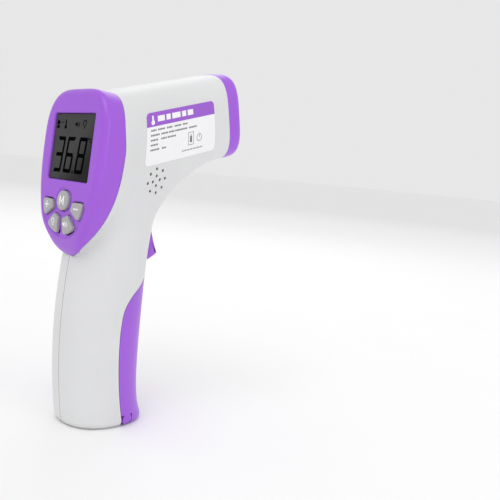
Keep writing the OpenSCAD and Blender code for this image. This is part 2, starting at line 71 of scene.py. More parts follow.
KEYS = ("mode_button", "plus_button", "minus_button", "light_button", "sound_button")
PURPLE, WHITE, GREY = (0.34, 0.088, 0.68), (0.6965, 0.6995, 0.7065), (0.4, 0.39, 0.41)
VOXEL = 0.75


# ---- Outlines of the body -------------------------------------------------------------------

def super_radius(a, b, n, f):
    """Radius of a superellipse with half sizes a and b in direction f."""
    return (np.abs(np.cos(f) / a) ** n + np.abs(np.sin(f) / b) ** n) ** (-1 / n)


def turn(count):
    """Directions once round a circle."""
    return np.arange(count) * 2 * math.pi / count


def face_outline(inset, f):
    """Outline of the bezel in its face's plane, as x across and s up."""
    r = super_radius(BEZEL_W / 2 - inset, BEZEL_UP - inset, 4.4, f)
    c, s = np.cos(f), np.sin(f)
    high = np.stack([r * c, r * s], 1)
    low = np.stack([np.sign(c) * (BEZEL_W / 2 - inset) * np.abs(c) ** 0.93,
                    -(BEZEL_DOWN - inset) * np.abs(s) ** 0.93], 1)
    p = np.where(s[:, None] >= 0, high, low)
    p[:, 0] *= 1 - 0.149 * (np.maximum(0, p[:, 1] - 3.8) / 20) ** 2
    return p


def roll(s):
    """How far the chin rolls back from the face's plane."""
    return 5.75 * (np.maximum(0, -28 - s) / 17.2) ** 2


def rim(s):
    """Depth of the bezel's rear edge. Near the chin it is up to 1.1 mm deeper than the solids' edge."""
    above = 11.5 - 1.9 * (1 - np.exp(-((np.maximum(s, -1) + 1) / 8) ** 2))
    below = 11.5 - 10.5 * (np.maximum(0, -1 - s) / 44.2) ** 2.9
    rolled = (np.maximum(0.5, below) ** 4 + (roll(s) + 1.3) ** 4) ** 0.25
    return np.where(s > -1, above, rolled)


def on_face(x, s, depth):
    """A point of the face's frame, in the model's frame."""
    x, s, depth = np.broadcast_arrays(np.asarray(x, float), s, depth)
    return np.stack([x, FACE_Y + s * math.sin(LEAN) + depth * math.cos(LEAN),
                     FACE_Z + s * math.cos(LEAN) - depth * math.sin(LEAN)], -1)


def face_ring(inset, scale, depth, count):
    """Ring of the bezel's outline, drawn in by inset and shrunk to scale, at depth(s)."""
    p = face_outline(inset, turn(count)) * scale
    return on_face(p[:, 0], p[:, 1], depth(p[:, 1]))


def in_barrel(x, w, t):
    """A point of the barrel's frame, x across, w up and t forward of the nose joint."""
    x, w, t = np.broadcast_arrays(np.asarray(x, float), w, t)
    return np.stack([x, NOSE_Y + t * math.cos(PITCH) - w * math.sin(PITCH),
                     NOSE_Z + t * math.sin(PITCH) + w * math.cos(PITCH)], -1)


def nose_ring_at(inset, t, count):
    """Ring of the nose's outline, drawn in by inset, t forward of the joint."""
    f = turn(count)
    r = super_radius(NOSE_W / 2 - inset, NOSE_H / 2 - inset, NOSE_N, f)
    return in_barrel(r * np.cos(f), r * np.sin(f), t)


def hollow_under(t):
    """Rise and fall of the barrel's underside along its length."""
    total = 0.0
    for start, end, height in ((0, 0.4, 3.5), (0.4, 0.6, -2.6), (0.6, 1, 2.9)):
        if start < t < end:
            total += height * math.sin(math.pi * (t - start) / (end - start))
    return total


def barrel_rings(count=240):
    """Rings of the barrel's skin, which run past both of its ends."""
    start = face_ring(0, 1, lambda s: rim(s) + BEZEL_GAP, count)
    end = nose_ring_at(0, 0, count)
    lift = ((1 - np.sin(turn(count))) / 2) ** 3
    rings = [face_ring(0, 1, lambda s: rim(s) + BEZEL_GAP - ahead, count) for ahead in (3, 2, 1)]
    for t in np.linspace(0, 1.06, 130):
        ring = start * (1 - t) + end * t
        ring[:, 2] += hollow_under(t) * lift
        rings.append(ring)
    return rings


def grip_ring(z, count, inset=0.0):
    """Ring of the grip's outline at height z, drawn in by inset, with a foot rounded by 3 mm."""
    foot = 3 - math.sqrt(9 - (3 - z) ** 2) if z < 3 else 0
    zz = min(z, GRIP_TOP)
    back = -23.9 + 0.0023 * (zz - 46) ** 2 + inset + foot
    front = 15 + 6.5 * math.exp(-zz / 9) + 2.7 * (max(0, zz - 60) / 35) ** 2 - inset - foot
    f = turn(count)
    r = super_radius(GRIP_W / 2 - inset - foot, (front - back) / 2, GRIP_N, f)
    return np.stack([r * np.cos(f), (front + back) / 2 + r * np.sin(f), np.full(count, float(z))], 1)


def grip_rings(count=220, inset=0.0, low=0.0):
    """Rings of the grip's skin, from its foot to inside the barrel."""
    foot = [3 - 3 * math.cos(a) for a in np.linspace(0.0, math.pi / 2, 14)]
    steps = [z for z in foot if z > low + 0.01] + list(np.arange(3.6, GRIP_TOP, 0.6))
    rings = [grip_ring(low, count, inset)] + [grip_ring(z, count, inset) for z in steps]
    return rings + [grip_ring(GRIP_TOP + 5, count, inset + 2.5)]


# ---- Mesh making ----------------------------------------------------------------------------

def loft(rings, closed_ends=True):
    """Points and faces of a skin over rings with the same number of points."""
    n, m = len(rings[0]), len(rings)
    points = np.concatenate(rings)
    faces = [(j * n + i, j * n + (i + 1) % n, (j + 1) * n + (i + 1) % n, (j + 1) * n + i)
             for j in range(m - 1) for i in range(n)]
    if closed_ends:
        points = np.concatenate([points, [rings[0].mean(0)], [rings[-1].mean(0)]])
        faces += [(i, m * n, (i + 1) % n) for i in range(n)]
        faces += [((m - 1) * n + i, (m - 1) * n + (i + 1) % n, m * n + 1) for i in range(n)]
    return points, faces


def soften(mesh, angle=32):
    """Smooth shading, apart from edges sharper than the angle."""
    mesh.shade_smooth()
    mesh.set_sharp_from_angle(angle=math.radians(angle))


def outward(mesh):
    """Merges doubled points and turns every face outwards."""
    bm = bmesh.new()
    bm.from_mesh(mesh)
    bmesh.ops.remove_doubles(bm, verts=bm.verts, dist=2e-6)
    bmesh.ops.recalc_face_normals(bm, faces=bm.faces)
    bm.to_mesh(mesh)
    bm.free()


def piece_from(name, points, faces, fix=True, angle=32):
    """Smooth piece from points in millimetres. With fix, its doubled points merge and it faces outwards."""
    mesh = bpy.data.meshes.new(name)
    mesh.from_pydata((np.asarray(points, float) * MM).tolist(), [], [list(map(int, f)) for f in faces])
    mesh.update()
    if fix:
        outward(mesh)
    soften(mesh, angle)
    piece = bpy.data.objects.new(name, mesh)
    bpy.context.scene.collection.objects.link(piece)
    return piece


def baked(piece, angle=32):
    """Turns a piece's modifiers into plain mesh."""
    view = bpy.context.evaluated_depsgraph_get()
    view.update()
    mesh = bpy.data.meshes.new_from_object(piece.evaluated_get(view))
    old, name = piece.data, piece.name
    piece.modifiers.clear()
    piece.data = mesh
    mesh.name = name
    bpy.data.meshes.remove(old)
    soften(mesh, angle)


def drop(*pieces):
    """Deletes helpers that a piece was made with."""
    for piece in pieces:
        bpy.data.objects.remove(piece)


def carve(piece, cutter, operation="DIFFERENCE", keep=False, angle=32):
    """Cuts one closed piece with another."""
    tool = piece.modifiers.new("carve", "BOOLEAN")
    tool.operation, tool.object, tool.solver = operation, cutter, "EXACT"
    baked(piece, angle)
    if not keep:
        drop(cutter)


def join(piece, *others):
    """Adds other pieces' meshes to one piece."""
    bm = bmesh.new()
    for part in (piece,) + others:
        bm.from_mesh(part.data)
    bm.to_mesh(piece.data)
    bm.free()
    drop(*others)
    soften(piece.data)
    return piece


def prism(name, outline, place, low, high):
    """Closed prism over a flat outline: place(x, y, z) puts its points."""
    o = np.asarray(outline, float)
    rings = [place(o[:, 0], o[:, 1], z) for z in (low, high)]
    n = len(o)
    faces = [(i, (i + 1) % n, n + (i + 1) % n, n + i) for i in range(n)]
    faces += [tuple(range(n)), tuple(range(2 * n - 1, n - 1, -1))]
    return piece_from(name, np.concatenate(rings), faces)


def across(y, z, x):
    """Side view places: y and z in the side view, x across."""
    y, z, x = np.broadcast_arrays(np.asarray(y, float), z, x)
    return np.stack([x, y, z], -1)


def block(name, low, high):
    """Box between two corners, for cutting and filling."""
    (x0, y0, z0), (x1, y1, z1) = low, high
    return prism(name, [(y0, z0), (y1, z0), (y1, z1), (y0, z1)], across, x0, x1)


def rod(name, y, z, x0, x1, radii, count=48):
    """Turned bar across the body: radii are (share of its length, radius)."""
    f = turn(count)
    rings = [np.stack([np.full(count, x0 + (x1 - x0) * t), y + r * np.cos(f), z + r * np.sin(f)], 1)
             for t, r in radii]
    return piece_from(name, *loft(rings))


def grown(outline, g):
    """A closed outline moved outwards by g along its normals."""
    p = np.asarray(outline, float)
    edge = np.roll(p, -1, 0) - np.roll(p, 1, 0)
    area = np.sum(p[:, 0] * np.roll(p[:, 1], -1) - np.roll(p[:, 0], -1) * p[:, 1])
    side = np.stack([edge[:, 1], -edge[:, 0]], 1) / np.linalg.norm(edge, axis=1)[:, None]
    return p + side * g * (1 if area > 0 else -1)


def rounded(w, h, r, steps=8):
    """Rounded rectangle about the origin."""
    out = []
    for k, (cx, cy) in enumerate(((1, 1), (-1, 1), (-1, -1), (1, -1))):
        for a in np.linspace(0, math.pi / 2, steps):
            a += k * math.pi / 2
            out.append((cx * (w / 2 - r) + r * math.cos(a), cy * (h / 2 - r) + r * math.sin(a)))
    return np.array(out)


def closed_loop(rings):
    """Skin over rings whose last ring meets the first again."""
    points, faces = loft(rings, closed_ends=False)
    n, last = len(rings[0]), (len(rings) - 1) * len(rings[0])
    return points, faces + [(last + i, last + (i + 1) % n, (i + 1) % n, i) for i in range(n)]


def mesh_points(mesh):
    """A mesh's points in millimetres."""
    co = np.zeros(len(mesh.vertices) * 3)
    mesh.vertices.foreach_get("co", co)
    return co.reshape(-1, 3) / MM


def nearest_on(mesh):
    """Search tree over a mesh, in millimetres."""
    return BVHTree.FromPolygons(mesh_points(mesh).tolist(), [tuple(p.vertices) for p in mesh.polygons])


# ---- Body: one smooth skin where the grip runs into the barrel ------------------------------

def face_place(y, z):
    """Height up the face's plane and depth behind it, of side view places."""
    dy, dz = y - FACE_Y, z - FACE_Z
    return dy * math.sin(LEAN) + dz * math.cos(LEAN), dy * math.cos(LEAN) - dz * math.sin(LEAN)


def blend_size(p):
    """How softly grip and barrel run together: sharp at the bezel, soft 14 mm behind it."""
    s, depth = face_place(p[1], p[2])
    t = min(1.0, max(0.0, (depth - float(rim(min(s, 24.0)))) / 14))
    return SHARP + (FILLET - SHARP) * t * t * (3 - 2 * t)


def skin_distance(tree, p):
    """Signed distance from a closed skin, and the direction away from it."""
    place, normal, _, gap = tree.find_nearest(p)
    if gap < 1e-6:
        return 0.0, normal
    away = (Vector(p) - place) / gap
    return (gap, away) if away.dot(normal) > 0 else (-gap, -away)


def blended_skin():
    """Voxels over barrel and grip, then every point drawn onto their softly blended surface."""
    skins = [piece_from("skin", *loft(rings)) for rings in (barrel_rings(), grip_rings())]
    trees = [nearest_on(skin.data) for skin in skins]
    body = join(*skins)
    voxels = body.modifiers.new("voxels", "REMESH")
    voxels.mode, voxels.voxel_size = "VOXEL", VOXEL * MM
    baked(body)
    points = mesh_points(body.data)
    for _ in range(3):
        for i, p in enumerate(points):
            (a, na), (b, nb) = (skin_distance(tree, p) for tree in trees)
            fillet = blend_size(p)
            h = max(fillet - abs(a - b), 0) / fillet
            share = 0.5 * h if a > b else 1 - 0.5 * h
            reach = min(a, b) - h * h * fillet / 4
            away = (na * share + nb * (1 - share)).normalized()
            points[i] = p - np.array(away) * reach
    body.data.vertices.foreach_set("co", (points * MM).ravel())
    body.data.update()
    return body


def trim(bm, field, delete=True, snap=0.22):
    """Cuts an open skin along the zero line of a field, and deletes where the field is positive.

    Points within snap of an edge's length from the line move onto it, so that no slivers are left."""
    points = np.array([v.co for v in bm.verts]) / MM
    value = dict(zip(bm.verts, field(points)))
    nearest = {}
    crossing = [e for e in bm.edges if value[e.verts[0]] * value[e.verts[1]] < 0]
    for edge in crossing:
        a, b = edge.verts
        t = value[a] / (value[a] - value[b])
        for v, other, share in ((a, b, t), (b, a, 1 - t)):
            if share < snap and share < nearest.get(v, (1, 0))[0]:
                nearest[v] = (share, v.co.lerp(other.co, share))
    for v, (_, place) in nearest.items():
        v.co, value[v] = place, 0.0
    for edge in crossing:
        a, b = edge.verts
        if value[a] * value[b] < 0:
            _, made = bmesh.utils.edge_split(edge, a, value[a] / (value[a] - value[b]))
            value[made] = 0.0
    for face in bm.faces[:]:
        signs = [value[v] for v in face.verts]
        if min(signs) < 0 < max(signs):
            on_line = [v for v in face.verts if value[v] == 0]
            if len(on_line) == 2:
                bmesh.utils.face_split(face, *on_line)
    if delete:
        gone = [f for f in bm.faces if sum(value[v] for v in f.verts) > 0]
        bmesh.ops.delete(bm, geom=gone, context="FACES")


def before_rim(gap):
    """Positive in front of the bezel's rear edge."""
    def field(p):
        s, depth = face_place(p[:, 1], p[:, 2])
        return np.minimum(rim(np.clip(s, -60, 40)) + gap - depth, s + BEZEL_DOWN + gap)
    return field


def past_nose(p):
    """Positive in front of the nose joint."""
    return (p[:, 1] - NOSE_Y) * math.cos(PITCH) + (p[:, 2] - NOSE_Z) * math.sin(PITCH)


def inside_outline(outline, columns, where=None):
    """Signed distance into a closed outline, over two of the point's coordinates."""
    o = np.asarray(outline, float)
    ends = np.roll(o, -1, 0)

    def field(points):
        p = points[:, columns]
        best, odd = np.full(len(p), 1e9), np.zeros(len(p), bool)
        for a, b in zip(o, ends):
            d = b - a
            t = np.clip(((p - a) @ d) / (d @ d), 0, 1)
            best = np.minimum(best, np.linalg.norm(p - a - t[:, None] * d, axis=1))
            spans = (a[1] > p[:, 1]) != (b[1] > p[:, 1])
            if abs(d[1]) > 1e-9:
                odd ^= spans & (p[:, 0] < a[0] + (p[:, 1] - a[1]) / d[1] * d[0])
        result = np.where(odd, best, -best)
        return result if where is None else np.where(where(points), result, -1.0)
    return field


def seam_y(z):
    """Where the battery cover's side edge runs, up to its shoulder."""
    return -3.4 + 0.0034 * (42 - z) ** 2


def smooth_route(p, steps):
    """Catmull-Rom route through points."""
    p = np.asarray(p, float)
    n, out = len(p), []
    for i in range(n - 1):
        a, b, c, d = p[max(i - 1, 0)], p[i], p[i + 1], p[min(i + 2, n - 1)]
        for t in np.arange(steps) / steps:
            out.append(0.5 * (2 * b + (c - a) * t + (2 * a - 5 * b + 4 * c - d) * t ** 2
                              + (3 * b - a - 3 * c + d) * t ** 3))
    return np.array(out + [p[-1]])


def cover_outline(g):
    """Side view of the battery cover, grown by g."""
    lower = [(seam_y(z), z) for z in np.arange(3.5, 40, 1.5)]
    top = smooth_route([(-3.4, 42), (-2.4, 50.6), (1.2, 56.6), (6.5, 60.9), (16, 68.6)], 10)
    rest = [(30, 80), (30, -5), (HINGE_Y, -5), (HINGE_Y - 3.2, 1)]
    return grown(lower + [tuple(p) for p in top] + rest, g)


def build_speaker_cloth(outer):
    """Dark cloth plugs behind the speaker's holes: a tree that sets one pin on each point."""
    tree = bpy.data.node_groups.new("speaker_cloth", "GeometryNodeTree")
    sizes = {"Pin radius": 0.66 * MM, "Pin length": 1.5 * MM}
    tree.interface.new_socket("Points", in_out="INPUT", socket_type="NodeSocketGeometry")
    for key in sizes:
        tree.interface.new_socket(key, in_out="INPUT", socket_type="NodeSocketFloat")
    tree.interface.new_socket("Geometry", in_out="OUTPUT", socket_type="NodeSocketGeometry")
    add, link = tree.nodes.new, tree.links.new
    start, end = add("NodeGroupInput"), add("NodeGroupOutput")
    pin = add("GeometryNodeMeshCylinder")
    pin.inputs["Vertices"].default_value = 20
    link(start.outputs["Pin radius"], pin.inputs["Radius"])
    link(start.outputs["Pin length"], pin.inputs["Depth"])
    to_points = add("GeometryNodeMeshToPoints")
    link(start.outputs["Points"], to_points.inputs["Mesh"])
    set_pins = add("GeometryNodeInstanceOnPoints")
    set_pins.inputs["Rotation"].default_value = (0, math.pi / 2, 0)
    link(to_points.outputs["Points"], set_pins.inputs["Points"])
    link(pin.outputs["Mesh"], set_pins.inputs["Instance"])
    real, paint = add("GeometryNodeRealizeInstances"), add("GeometryNodeSetMaterial")
    link(set_pins.outputs["Instances"], real.inputs["Geometry"])
    link(real.outputs["Geometry"], paint.inputs["Geometry"])
    link(paint.outputs["Geometry"], end.inputs["Geometry"])
    paint.inputs["Material"].default_value = MATERIALS["foam"]
    points, behind = [], 1.35
    for y, z in hole_places():
        hit, _, _, _ = outer.ray_cast(Vector((60, y, z)), Vector((-1, 0, 0)))
        points.append((hit.x - behind, y, z))
    cloth = piece_from("speaker_cloth", points, [], fix=False)
    modifier = cloth.modifiers.new("pins", "NODES")
    modifier.node_group = tree
    for item in tree.interface.items_tree:
        if item.in_out == "INPUT" and item.name in sizes:
            modifier[item.identifier] = sizes[item.name]
    baked(cloth)
    finish_piece(cloth, "root", "foam")


def hole_places():
    """Middles of the speaker's holes, as y and z."""
    out = []
    for count, r in SPEAKER_RINGS:
        for i in range(count):
            a = math.radians(15 + 360 * i / count)
            out.append((SPEAKER_Y + r * math.cos(a), SPEAKER_Z + r * math.sin(a)))
    return out


def pierce(bm, y, z, r, side):
    """Cuts a round hole across one side, through finer faces of its own."""
    def near(reach):
        return [e for e in bm.edges if all(
            math.hypot(v.co.y / MM - y, v.co.z / MM - z) < reach and v.co.x * side > 0 for v in e.verts)]
    for _ in range(2 if r < 1 else 1):
        bmesh.ops.subdivide_edges(bm, edges=near(r + 1.1), cuts=1, use_grid_fill=True)
    trim(bm, lambda p: np.where(p[:, 0] * side > 0, r - np.hypot(p[:, 1] - y, p[:, 2] - z), -1.0))
    for v in bm.verts:
        d = math.hypot(v.co.y / MM - y, v.co.z / MM - z)
        if v.is_boundary and v.co.x * side > 0 and abs(d - r) < 0.25:
            v.co.y = (y + (v.co.y / MM - y) * r / d) * MM
            v.co.z = (z + (v.co.z / MM - z) * r / d) * MM


def thickened(name, bm, outer, wall):
    """Closed wall under an open skin: an inner skin, and edges that join the two."""
    bmesh.ops.remove_doubles(bm, verts=bm.verts, dist=0.02 * MM)
    bm.verts.index_update()
    points = np.array([v.co for v in bm.verts]) / MM
    inner = []
    for p in points:
        _, normal, _, _ = outer.find_nearest(p)
        if abs(p[0]) < 0.01:
            normal = Vector((0, normal.y, normal.z)).normalized()
        inner.append(p - np.array(normal) * wall)
    n = len(points)
    faces = [tuple(v.index for v in f.verts) for f in bm.faces]
    walls = []
    for edge in bm.edges:
        if edge.is_boundary and len(edge.link_loops) == 1:
            loop = edge.link_loops[0]
            a, b = loop.vert.index, loop.link_loop_next.vert.index
            walls.append((b, a, n + a, n + b))
    bm.free()
    faces += [tuple(n + i for i in f[::-1]) for f in faces] + walls
    return piece_from(name, np.concatenate([points, inner]), faces, fix=False)


def build_shells():
    """Both halves of the body, and the search tree over their common outer skin."""
    skin = blended_skin()
    outer = nearest_on(skin.data)
    shells = []
    for name, side in (("left", -1), ("right", 1)):
        bm = bmesh.new()
        bm.from_mesh(skin.data)
        trim(bm, lambda p: -p[:, 0] * side)
        trim(bm, lambda p: p[:, 0] * side - SEAM_CHAMFER, delete=False, snap=0)
        trim(bm, before_rim(BEZEL_GAP))
        trim(bm, past_nose)
        trim(bm, inside_outline(cover_outline(COVER_GAP), [1, 2]))
        trim(bm, inside_outline(slot_outline(), [0, 2], lambda p: p[:, 1] > 8))
        for y, z in (hole_places() if side > 0 else []):
            pierce(bm, y, z, SPEAKER_HOLE, side)
        for y, z in (SCREWS if side < 0 else []):
            pierce(bm, y, z, SCREW_RECESS, side)
        for v in bm.verts:
            if abs(v.co.x) < 2e-7:
                _, normal, _, _ = outer.find_nearest(v.co / MM)
                v.co -= Vector((0, normal.y, normal.z)).normalized() * SEAM_CHAMFER * MM
        shells.append(thickened(name + "_half", bm, outer, WALL))
    drop(skin)
    return shells, outer


def slot_outline():
    """Front view of the trigger's opening."""
    return rounded(TRIGGER_W + 0.7, 19.0, 1.2) + np.array([0, 79.5])


# ---- Bezel, keys and display ----------------------------------------------------------------

def well_outline(g):
    """Sunken fan round the keys: a half disc with a bump round the middle key, grown by g."""
    a = turn(180)
    c, s = np.cos(a), np.sin(a)
    base = -4.0
    dot = base * s
    fan = -dot + np.sqrt(dot ** 2 - base ** 2 + (RING_OUT + 1.2) ** 2)
    line = np.where(s > 1e-3, (-0.6 - base) / np.maximum(s, 1e-3), 1e3)
    knob = -dot + np.sqrt(np.maximum(dot ** 2 - base ** 2 + (MODE_R + 1.5) ** 2, 0))
    r = np.maximum(np.minimum(fan, line), knob)
    soft = np.exp(-0.5 * (np.arange(-4, 5) / 1.8) ** 2)
    r = np.convolve(np.concatenate([r[-4:], r, r[:4]]), soft / soft.sum(), "valid") + g
    return np.stack([r * c, MODE_S + base + r * s], 1)


def key_slice(start, end, mirror, g=0.0, count=96):
    """Outline of a slice of the ring of keys, with rounded corners, grown by g."""
    start, end = math.radians(start), math.radians(end)
    mid, half = (start + end) / 2, (end - start) / 2
    apex = 0.12 * (RING_IN + RING_OUT) / 2 * np.array([math.cos(mid), math.sin(mid)])
    f = turn(count)
    r = super_radius(1, 1, 7, f)
    u, v = r * np.cos(f), r * np.sin(f)
    radius = (RING_IN + RING_OUT) / 2 + v * (RING_OUT - RING_IN) / 2
    way = np.stack([np.cos(mid + u * half), np.sin(mid + u * half)], 1)
    dot = way @ apex
    reach = -dot + np.sqrt(dot ** 2 - apex @ apex + radius ** 2)
    p = apex + way * reach[:, None]
    if mirror:
        p = (p * [-1, 1])[::-1]
    return grown(p, g) + np.array([0, MODE_S])


def key_outline(name, g=0.0):
    """Outline of one key in the face's plane, grown by g."""
    if name == "mode_button":
        f = turn(72)
        return np.stack([np.cos(f), np.sin(f)], 1) * (MODE_R + g) + np.array([0, MODE_S])
    start, end = (-33, 2) if name in ("plus_button", "minus_button") else (-83, -46)
    return key_slice(start, end, name in ("plus_button", "light_button"), g)


def key_top(name, p):
    """Height of a key's top above the face, at points of the face's plane."""
    o = key_outline(name)
    centre = o.mean(0)
    far = np.linalg.norm(o - centre, axis=1).max()
    q = np.linalg.norm(p - centre, axis=1) / far
    return KEY_PROUD - 0.02 - 0.28 * q ** 2 - 0.55 * roll(p[:, 1])


def build_key(name):
    """Domed key with a rounded edge."""
    o = key_outline(name)
    centre = o.mean(0)
    rings = []
    for k in (0.03, 0.2, 0.4, 0.6, 0.75):
        p = centre + (grown(o, -0.55) - centre) * k
        rings.append(on_face(p[:, 0], p[:, 1], -key_top(name, p)))
    for a in np.linspace(0, math.pi / 2, 7):
        p = grown(o, -0.5 * (1 - math.sin(a)))
        rings.append(on_face(p[:, 0], p[:, 1], -key_top(name, p) + 0.5 * (1 - math.cos(a))))
    rings.append(on_face(o[:, 0], o[:, 1], 1.2 + 0 * o[:, 0]))
    rings.append(on_face(*(centre + (o - centre) * 0.03).T, 1.25))
    key = piece_from(name.replace("button", "key_top"), *loft(rings), angle=50)
    finish_piece(key, name, "grey_keys", name)


def bezel_skin(count=200):
    """Closed skin of the bezel: crowned face, rounded edge, side wall and hollow back."""
    rows = [face_ring(FACE_ROUND, k, roll, count) for k in np.linspace(0.02, 1, 36)[:-1]]
    edge = lambda s: np.minimum(RIM_ROUND, 0.8 * (rim(s) - roll(s)))
    for a in np.linspace(0, math.pi / 2, 12):
        rows.append(face_ring(FACE_ROUND * (1 - math.sin(a)), 1,
                              lambda s: roll(s) + edge(s) * (1 - math.cos(a)), count))
    for t in np.linspace(0, 1, 7)[1:]:
        rows.append(face_ring(0, 1, lambda s: (roll(s) + edge(s)) * (1 - t) + (rim(s) - 0.12) * t, count))
    rows += [face_ring(0.12, 1, rim, count), face_ring(WALL, 1, rim, count)]
    rows.append(face_ring(WALL, 1, lambda s: np.minimum(roll(s) + FACE_WALL + 1.2, rim(s) - 0.05), count))
    for k in (1, 0.9, 0.7, 0.5, 0.3, 0.02):
        rows.append(face_ring(3.6, k, lambda s: roll(s) + FACE_WALL, count))
    return loft(rows)


def window_cutter():
    """The display's window, with a rounded edge, as (growth, depth) from inside out."""
    rings = []
    for g, depth in ((0.04, 4), (0.04, 0.55), (0.12, 0.3), (0.5, -0.02), (1.4, -1)):
        o = rounded(LCD_W + 2 * g, LCD_H + 2 * g, 1.0 + g)
        rings.append(on_face(o[:, 0], o[:, 1], depth))
    return piece_from("window_cutter", *loft(rings))


def well_cutter():
    """The sunken fan round the keys, half a millimetre deep, with a soft edge."""
    rings = []
    base = np.array([0, MODE_S - 4])
    for k in (0.03, 0.3, 0.6, 0.8, 0.95):
        p = base + (well_outline(-0.7) - base) * k
        rings.append(on_face(p[:, 0], p[:, 1], roll(p[:, 1]) + 0.5))
    for g, depth in ((-0.7, 0.5), (-0.35, 0.46), (-0.1, 0.34), (0.12, 0.17), (0.35, 0.05), (0.7, -0.03),
                     (1.2, -0.4)):
        p = well_outline(g)
        rings.append(on_face(p[:, 0], p[:, 1], roll(p[:, 1]) + depth))
    p = base + (well_outline(1.2) - base) * 0.03
    rings.append(on_face(p[:, 0], p[:, 1], -1.4))
    return piece_from("well_cutter", *loft(rings))


def key_cutter(name):
    """A key's opening, which widens towards the well."""
    rings = []
    for g, depth in ((KEY_GAP, 6), (KEY_GAP, 0.8), (KEY_GAP + 0.16, 0.52), (KEY_GAP + 0.4, 0.38)):
        o = key_outline(name, g)
        rings.append(on_face(o[:, 0], o[:, 1], depth + (roll(o[:, 1]) if depth < 2 else 0)))
    rings.append(on_face(o[:, 0], o[:, 1], -1.5))
    return piece_from("key_cutter", *loft(rings))


def build_bezel():
    """Bezel with its window, its well and five openings for keys."""
    bezel = piece_from("bezel", *bezel_skin(), angle=40)
    carve(bezel, window_cutter(), angle=40)
    carve(bezel, well_cutter(), angle=40)
    for name in KEYS:
        carve(bezel, key_cutter(name), angle=40)
    finish_piece(bezel, "root", "purple_abs", "face_bezel")


def decal(name, shapes, place, body, slot, material=None, thick=0.05, grain=0.9):
    """Thin raised print: flat shapes laid on a surface by place(x, y, height)."""
    bm = bmesh.new()
    for shape in shapes:
        face = bm.faces.new([bm.verts.new((x, y, 0)) for x, y in shape])
        if face.normal.z < 0 or sum(shape[i - 1][0] * shape[i][1] - shape[i][0] * shape[i - 1][1]
                                    for i in range(len(shape))) < 0:
            face.normal_flip()
    bmesh.ops.triangulate(bm, faces=bm.faces[:])
    for _ in range(5):
        long = [e for e in bm.edges if e.calc_length() > grain]
        if not long:
            break
        bmesh.ops.subdivide_edges(bm, edges=long, cuts=1)
        bmesh.ops.triangulate(bm, faces=[f for f in bm.faces if len(f.verts) > 3])
    flat = np.array([v.co[:2] for v in bm.verts])
    index = {v: i for i, v in enumerate(bm.verts)}
    faces = [tuple(index[v] for v in f.verts) for f in bm.faces]
    rims = [(index[e.verts[0]], index[e.verts[1]], f) for e in bm.edges if e.is_boundary
            for f in e.link_faces]
    walls = []
    n = len(flat)
    for a, b, f in rims:
        order = [index[v] for v in f.verts]
        if order[(order.index(a) + 1) % len(order)] != b:
            a, b = b, a
        walls.append((b, a, n + a, n + b))
    bm.free()
    points = np.concatenate([place(flat[:, 0], flat[:, 1], thick), place(flat[:, 0], flat[:, 1], -0.02)])
    under = [tuple(n + i for i in f[::-1]) for f in faces]
    piece = piece_from(name, points, faces + under + walls, fix=False, angle=50)
    finish_piece(piece, body, slot, material=material)
    return piece


def bar(x0, y0, x1, y1, w):
    """Straight stroke."""
    d = np.array([x1 - x0, y1 - y0], float)
    s = np.array([-d[1], d[0]]) / np.linalg.norm(d) * w / 2
    a, b = np.array([x0, y0]), np.array([x1, y1])
    return [tuple(a + s), tuple(a - s), tuple(b - s), tuple(b + s)]


def disc(x, y, r, count=20):
    """Round dot."""
    return [(x + r * math.cos(a), y + r * math.sin(a)) for a in turn(count)]


def arc(x, y, r, w, start, end, count=12):
    """Curved stroke, as a row of four-sided shapes."""
    a = np.radians(np.linspace(start, end, count))
    outer, inner = ([(x + k * math.cos(t), y + k * math.sin(t)) for t in a]
                    for k in (r + w / 2, r - w / 2))
    return [[outer[i], outer[i + 1], inner[i + 1], inner[i]] for i in range(count - 1)]


def moved(shapes, x, y, scale=1.0):
    """Shapes scaled and then moved."""
    return [[(x + scale * a, y + scale * b) for a, b in shape] for shape in shapes]


def bulb_sign():
    """Lamp: an open ring, a neck and a foot."""
    return arc(0, 0.45, 0.85, 0.34, -60, 240, 22) + [
        bar(-0.36, -0.34, -0.36, -0.85, 0.3), bar(0.36, -0.34, 0.36, -0.85, 0.3),
        bar(-0.4, -1.15, 0.4, -1.15, 0.3)]


def sound_sign():
    """Loudspeaker: a box, a cone and two waves."""
    shapes = [[(-1.7, 0.42), (-1.7, -0.42), (-1.05, -0.42), (-0.3, -1.05), (-0.3, 1.05), (-1.05, 0.42)]]
    for k in range(2):
        shapes += arc(-0.35, 0, 0.75 + 0.6 * k, 0.28, -42, 42, 9)
    return shapes


def letter_m(w, h, t):
    """The mode key's letter, in four strokes."""
    x, y = w / 2 - t / 2, h / 2
    return [bar(-x, -y, -x, y, t), bar(x, -y, x, y, t), bar(-x + 0.1, y - 0.2, 0, -y + 0.9, t * 0.95),
            bar(x - 0.1, y - 0.2, 0, -y + 0.9, t * 0.95)]


# Segments of a digit, named from the top clockwise, and the digits that use them
SEGMENTS = {"8": "abcdefg", "3": "abcdg", "6": "acdefg"}
SEGMENT_H, SEGMENT_W = 1.6, 1.2


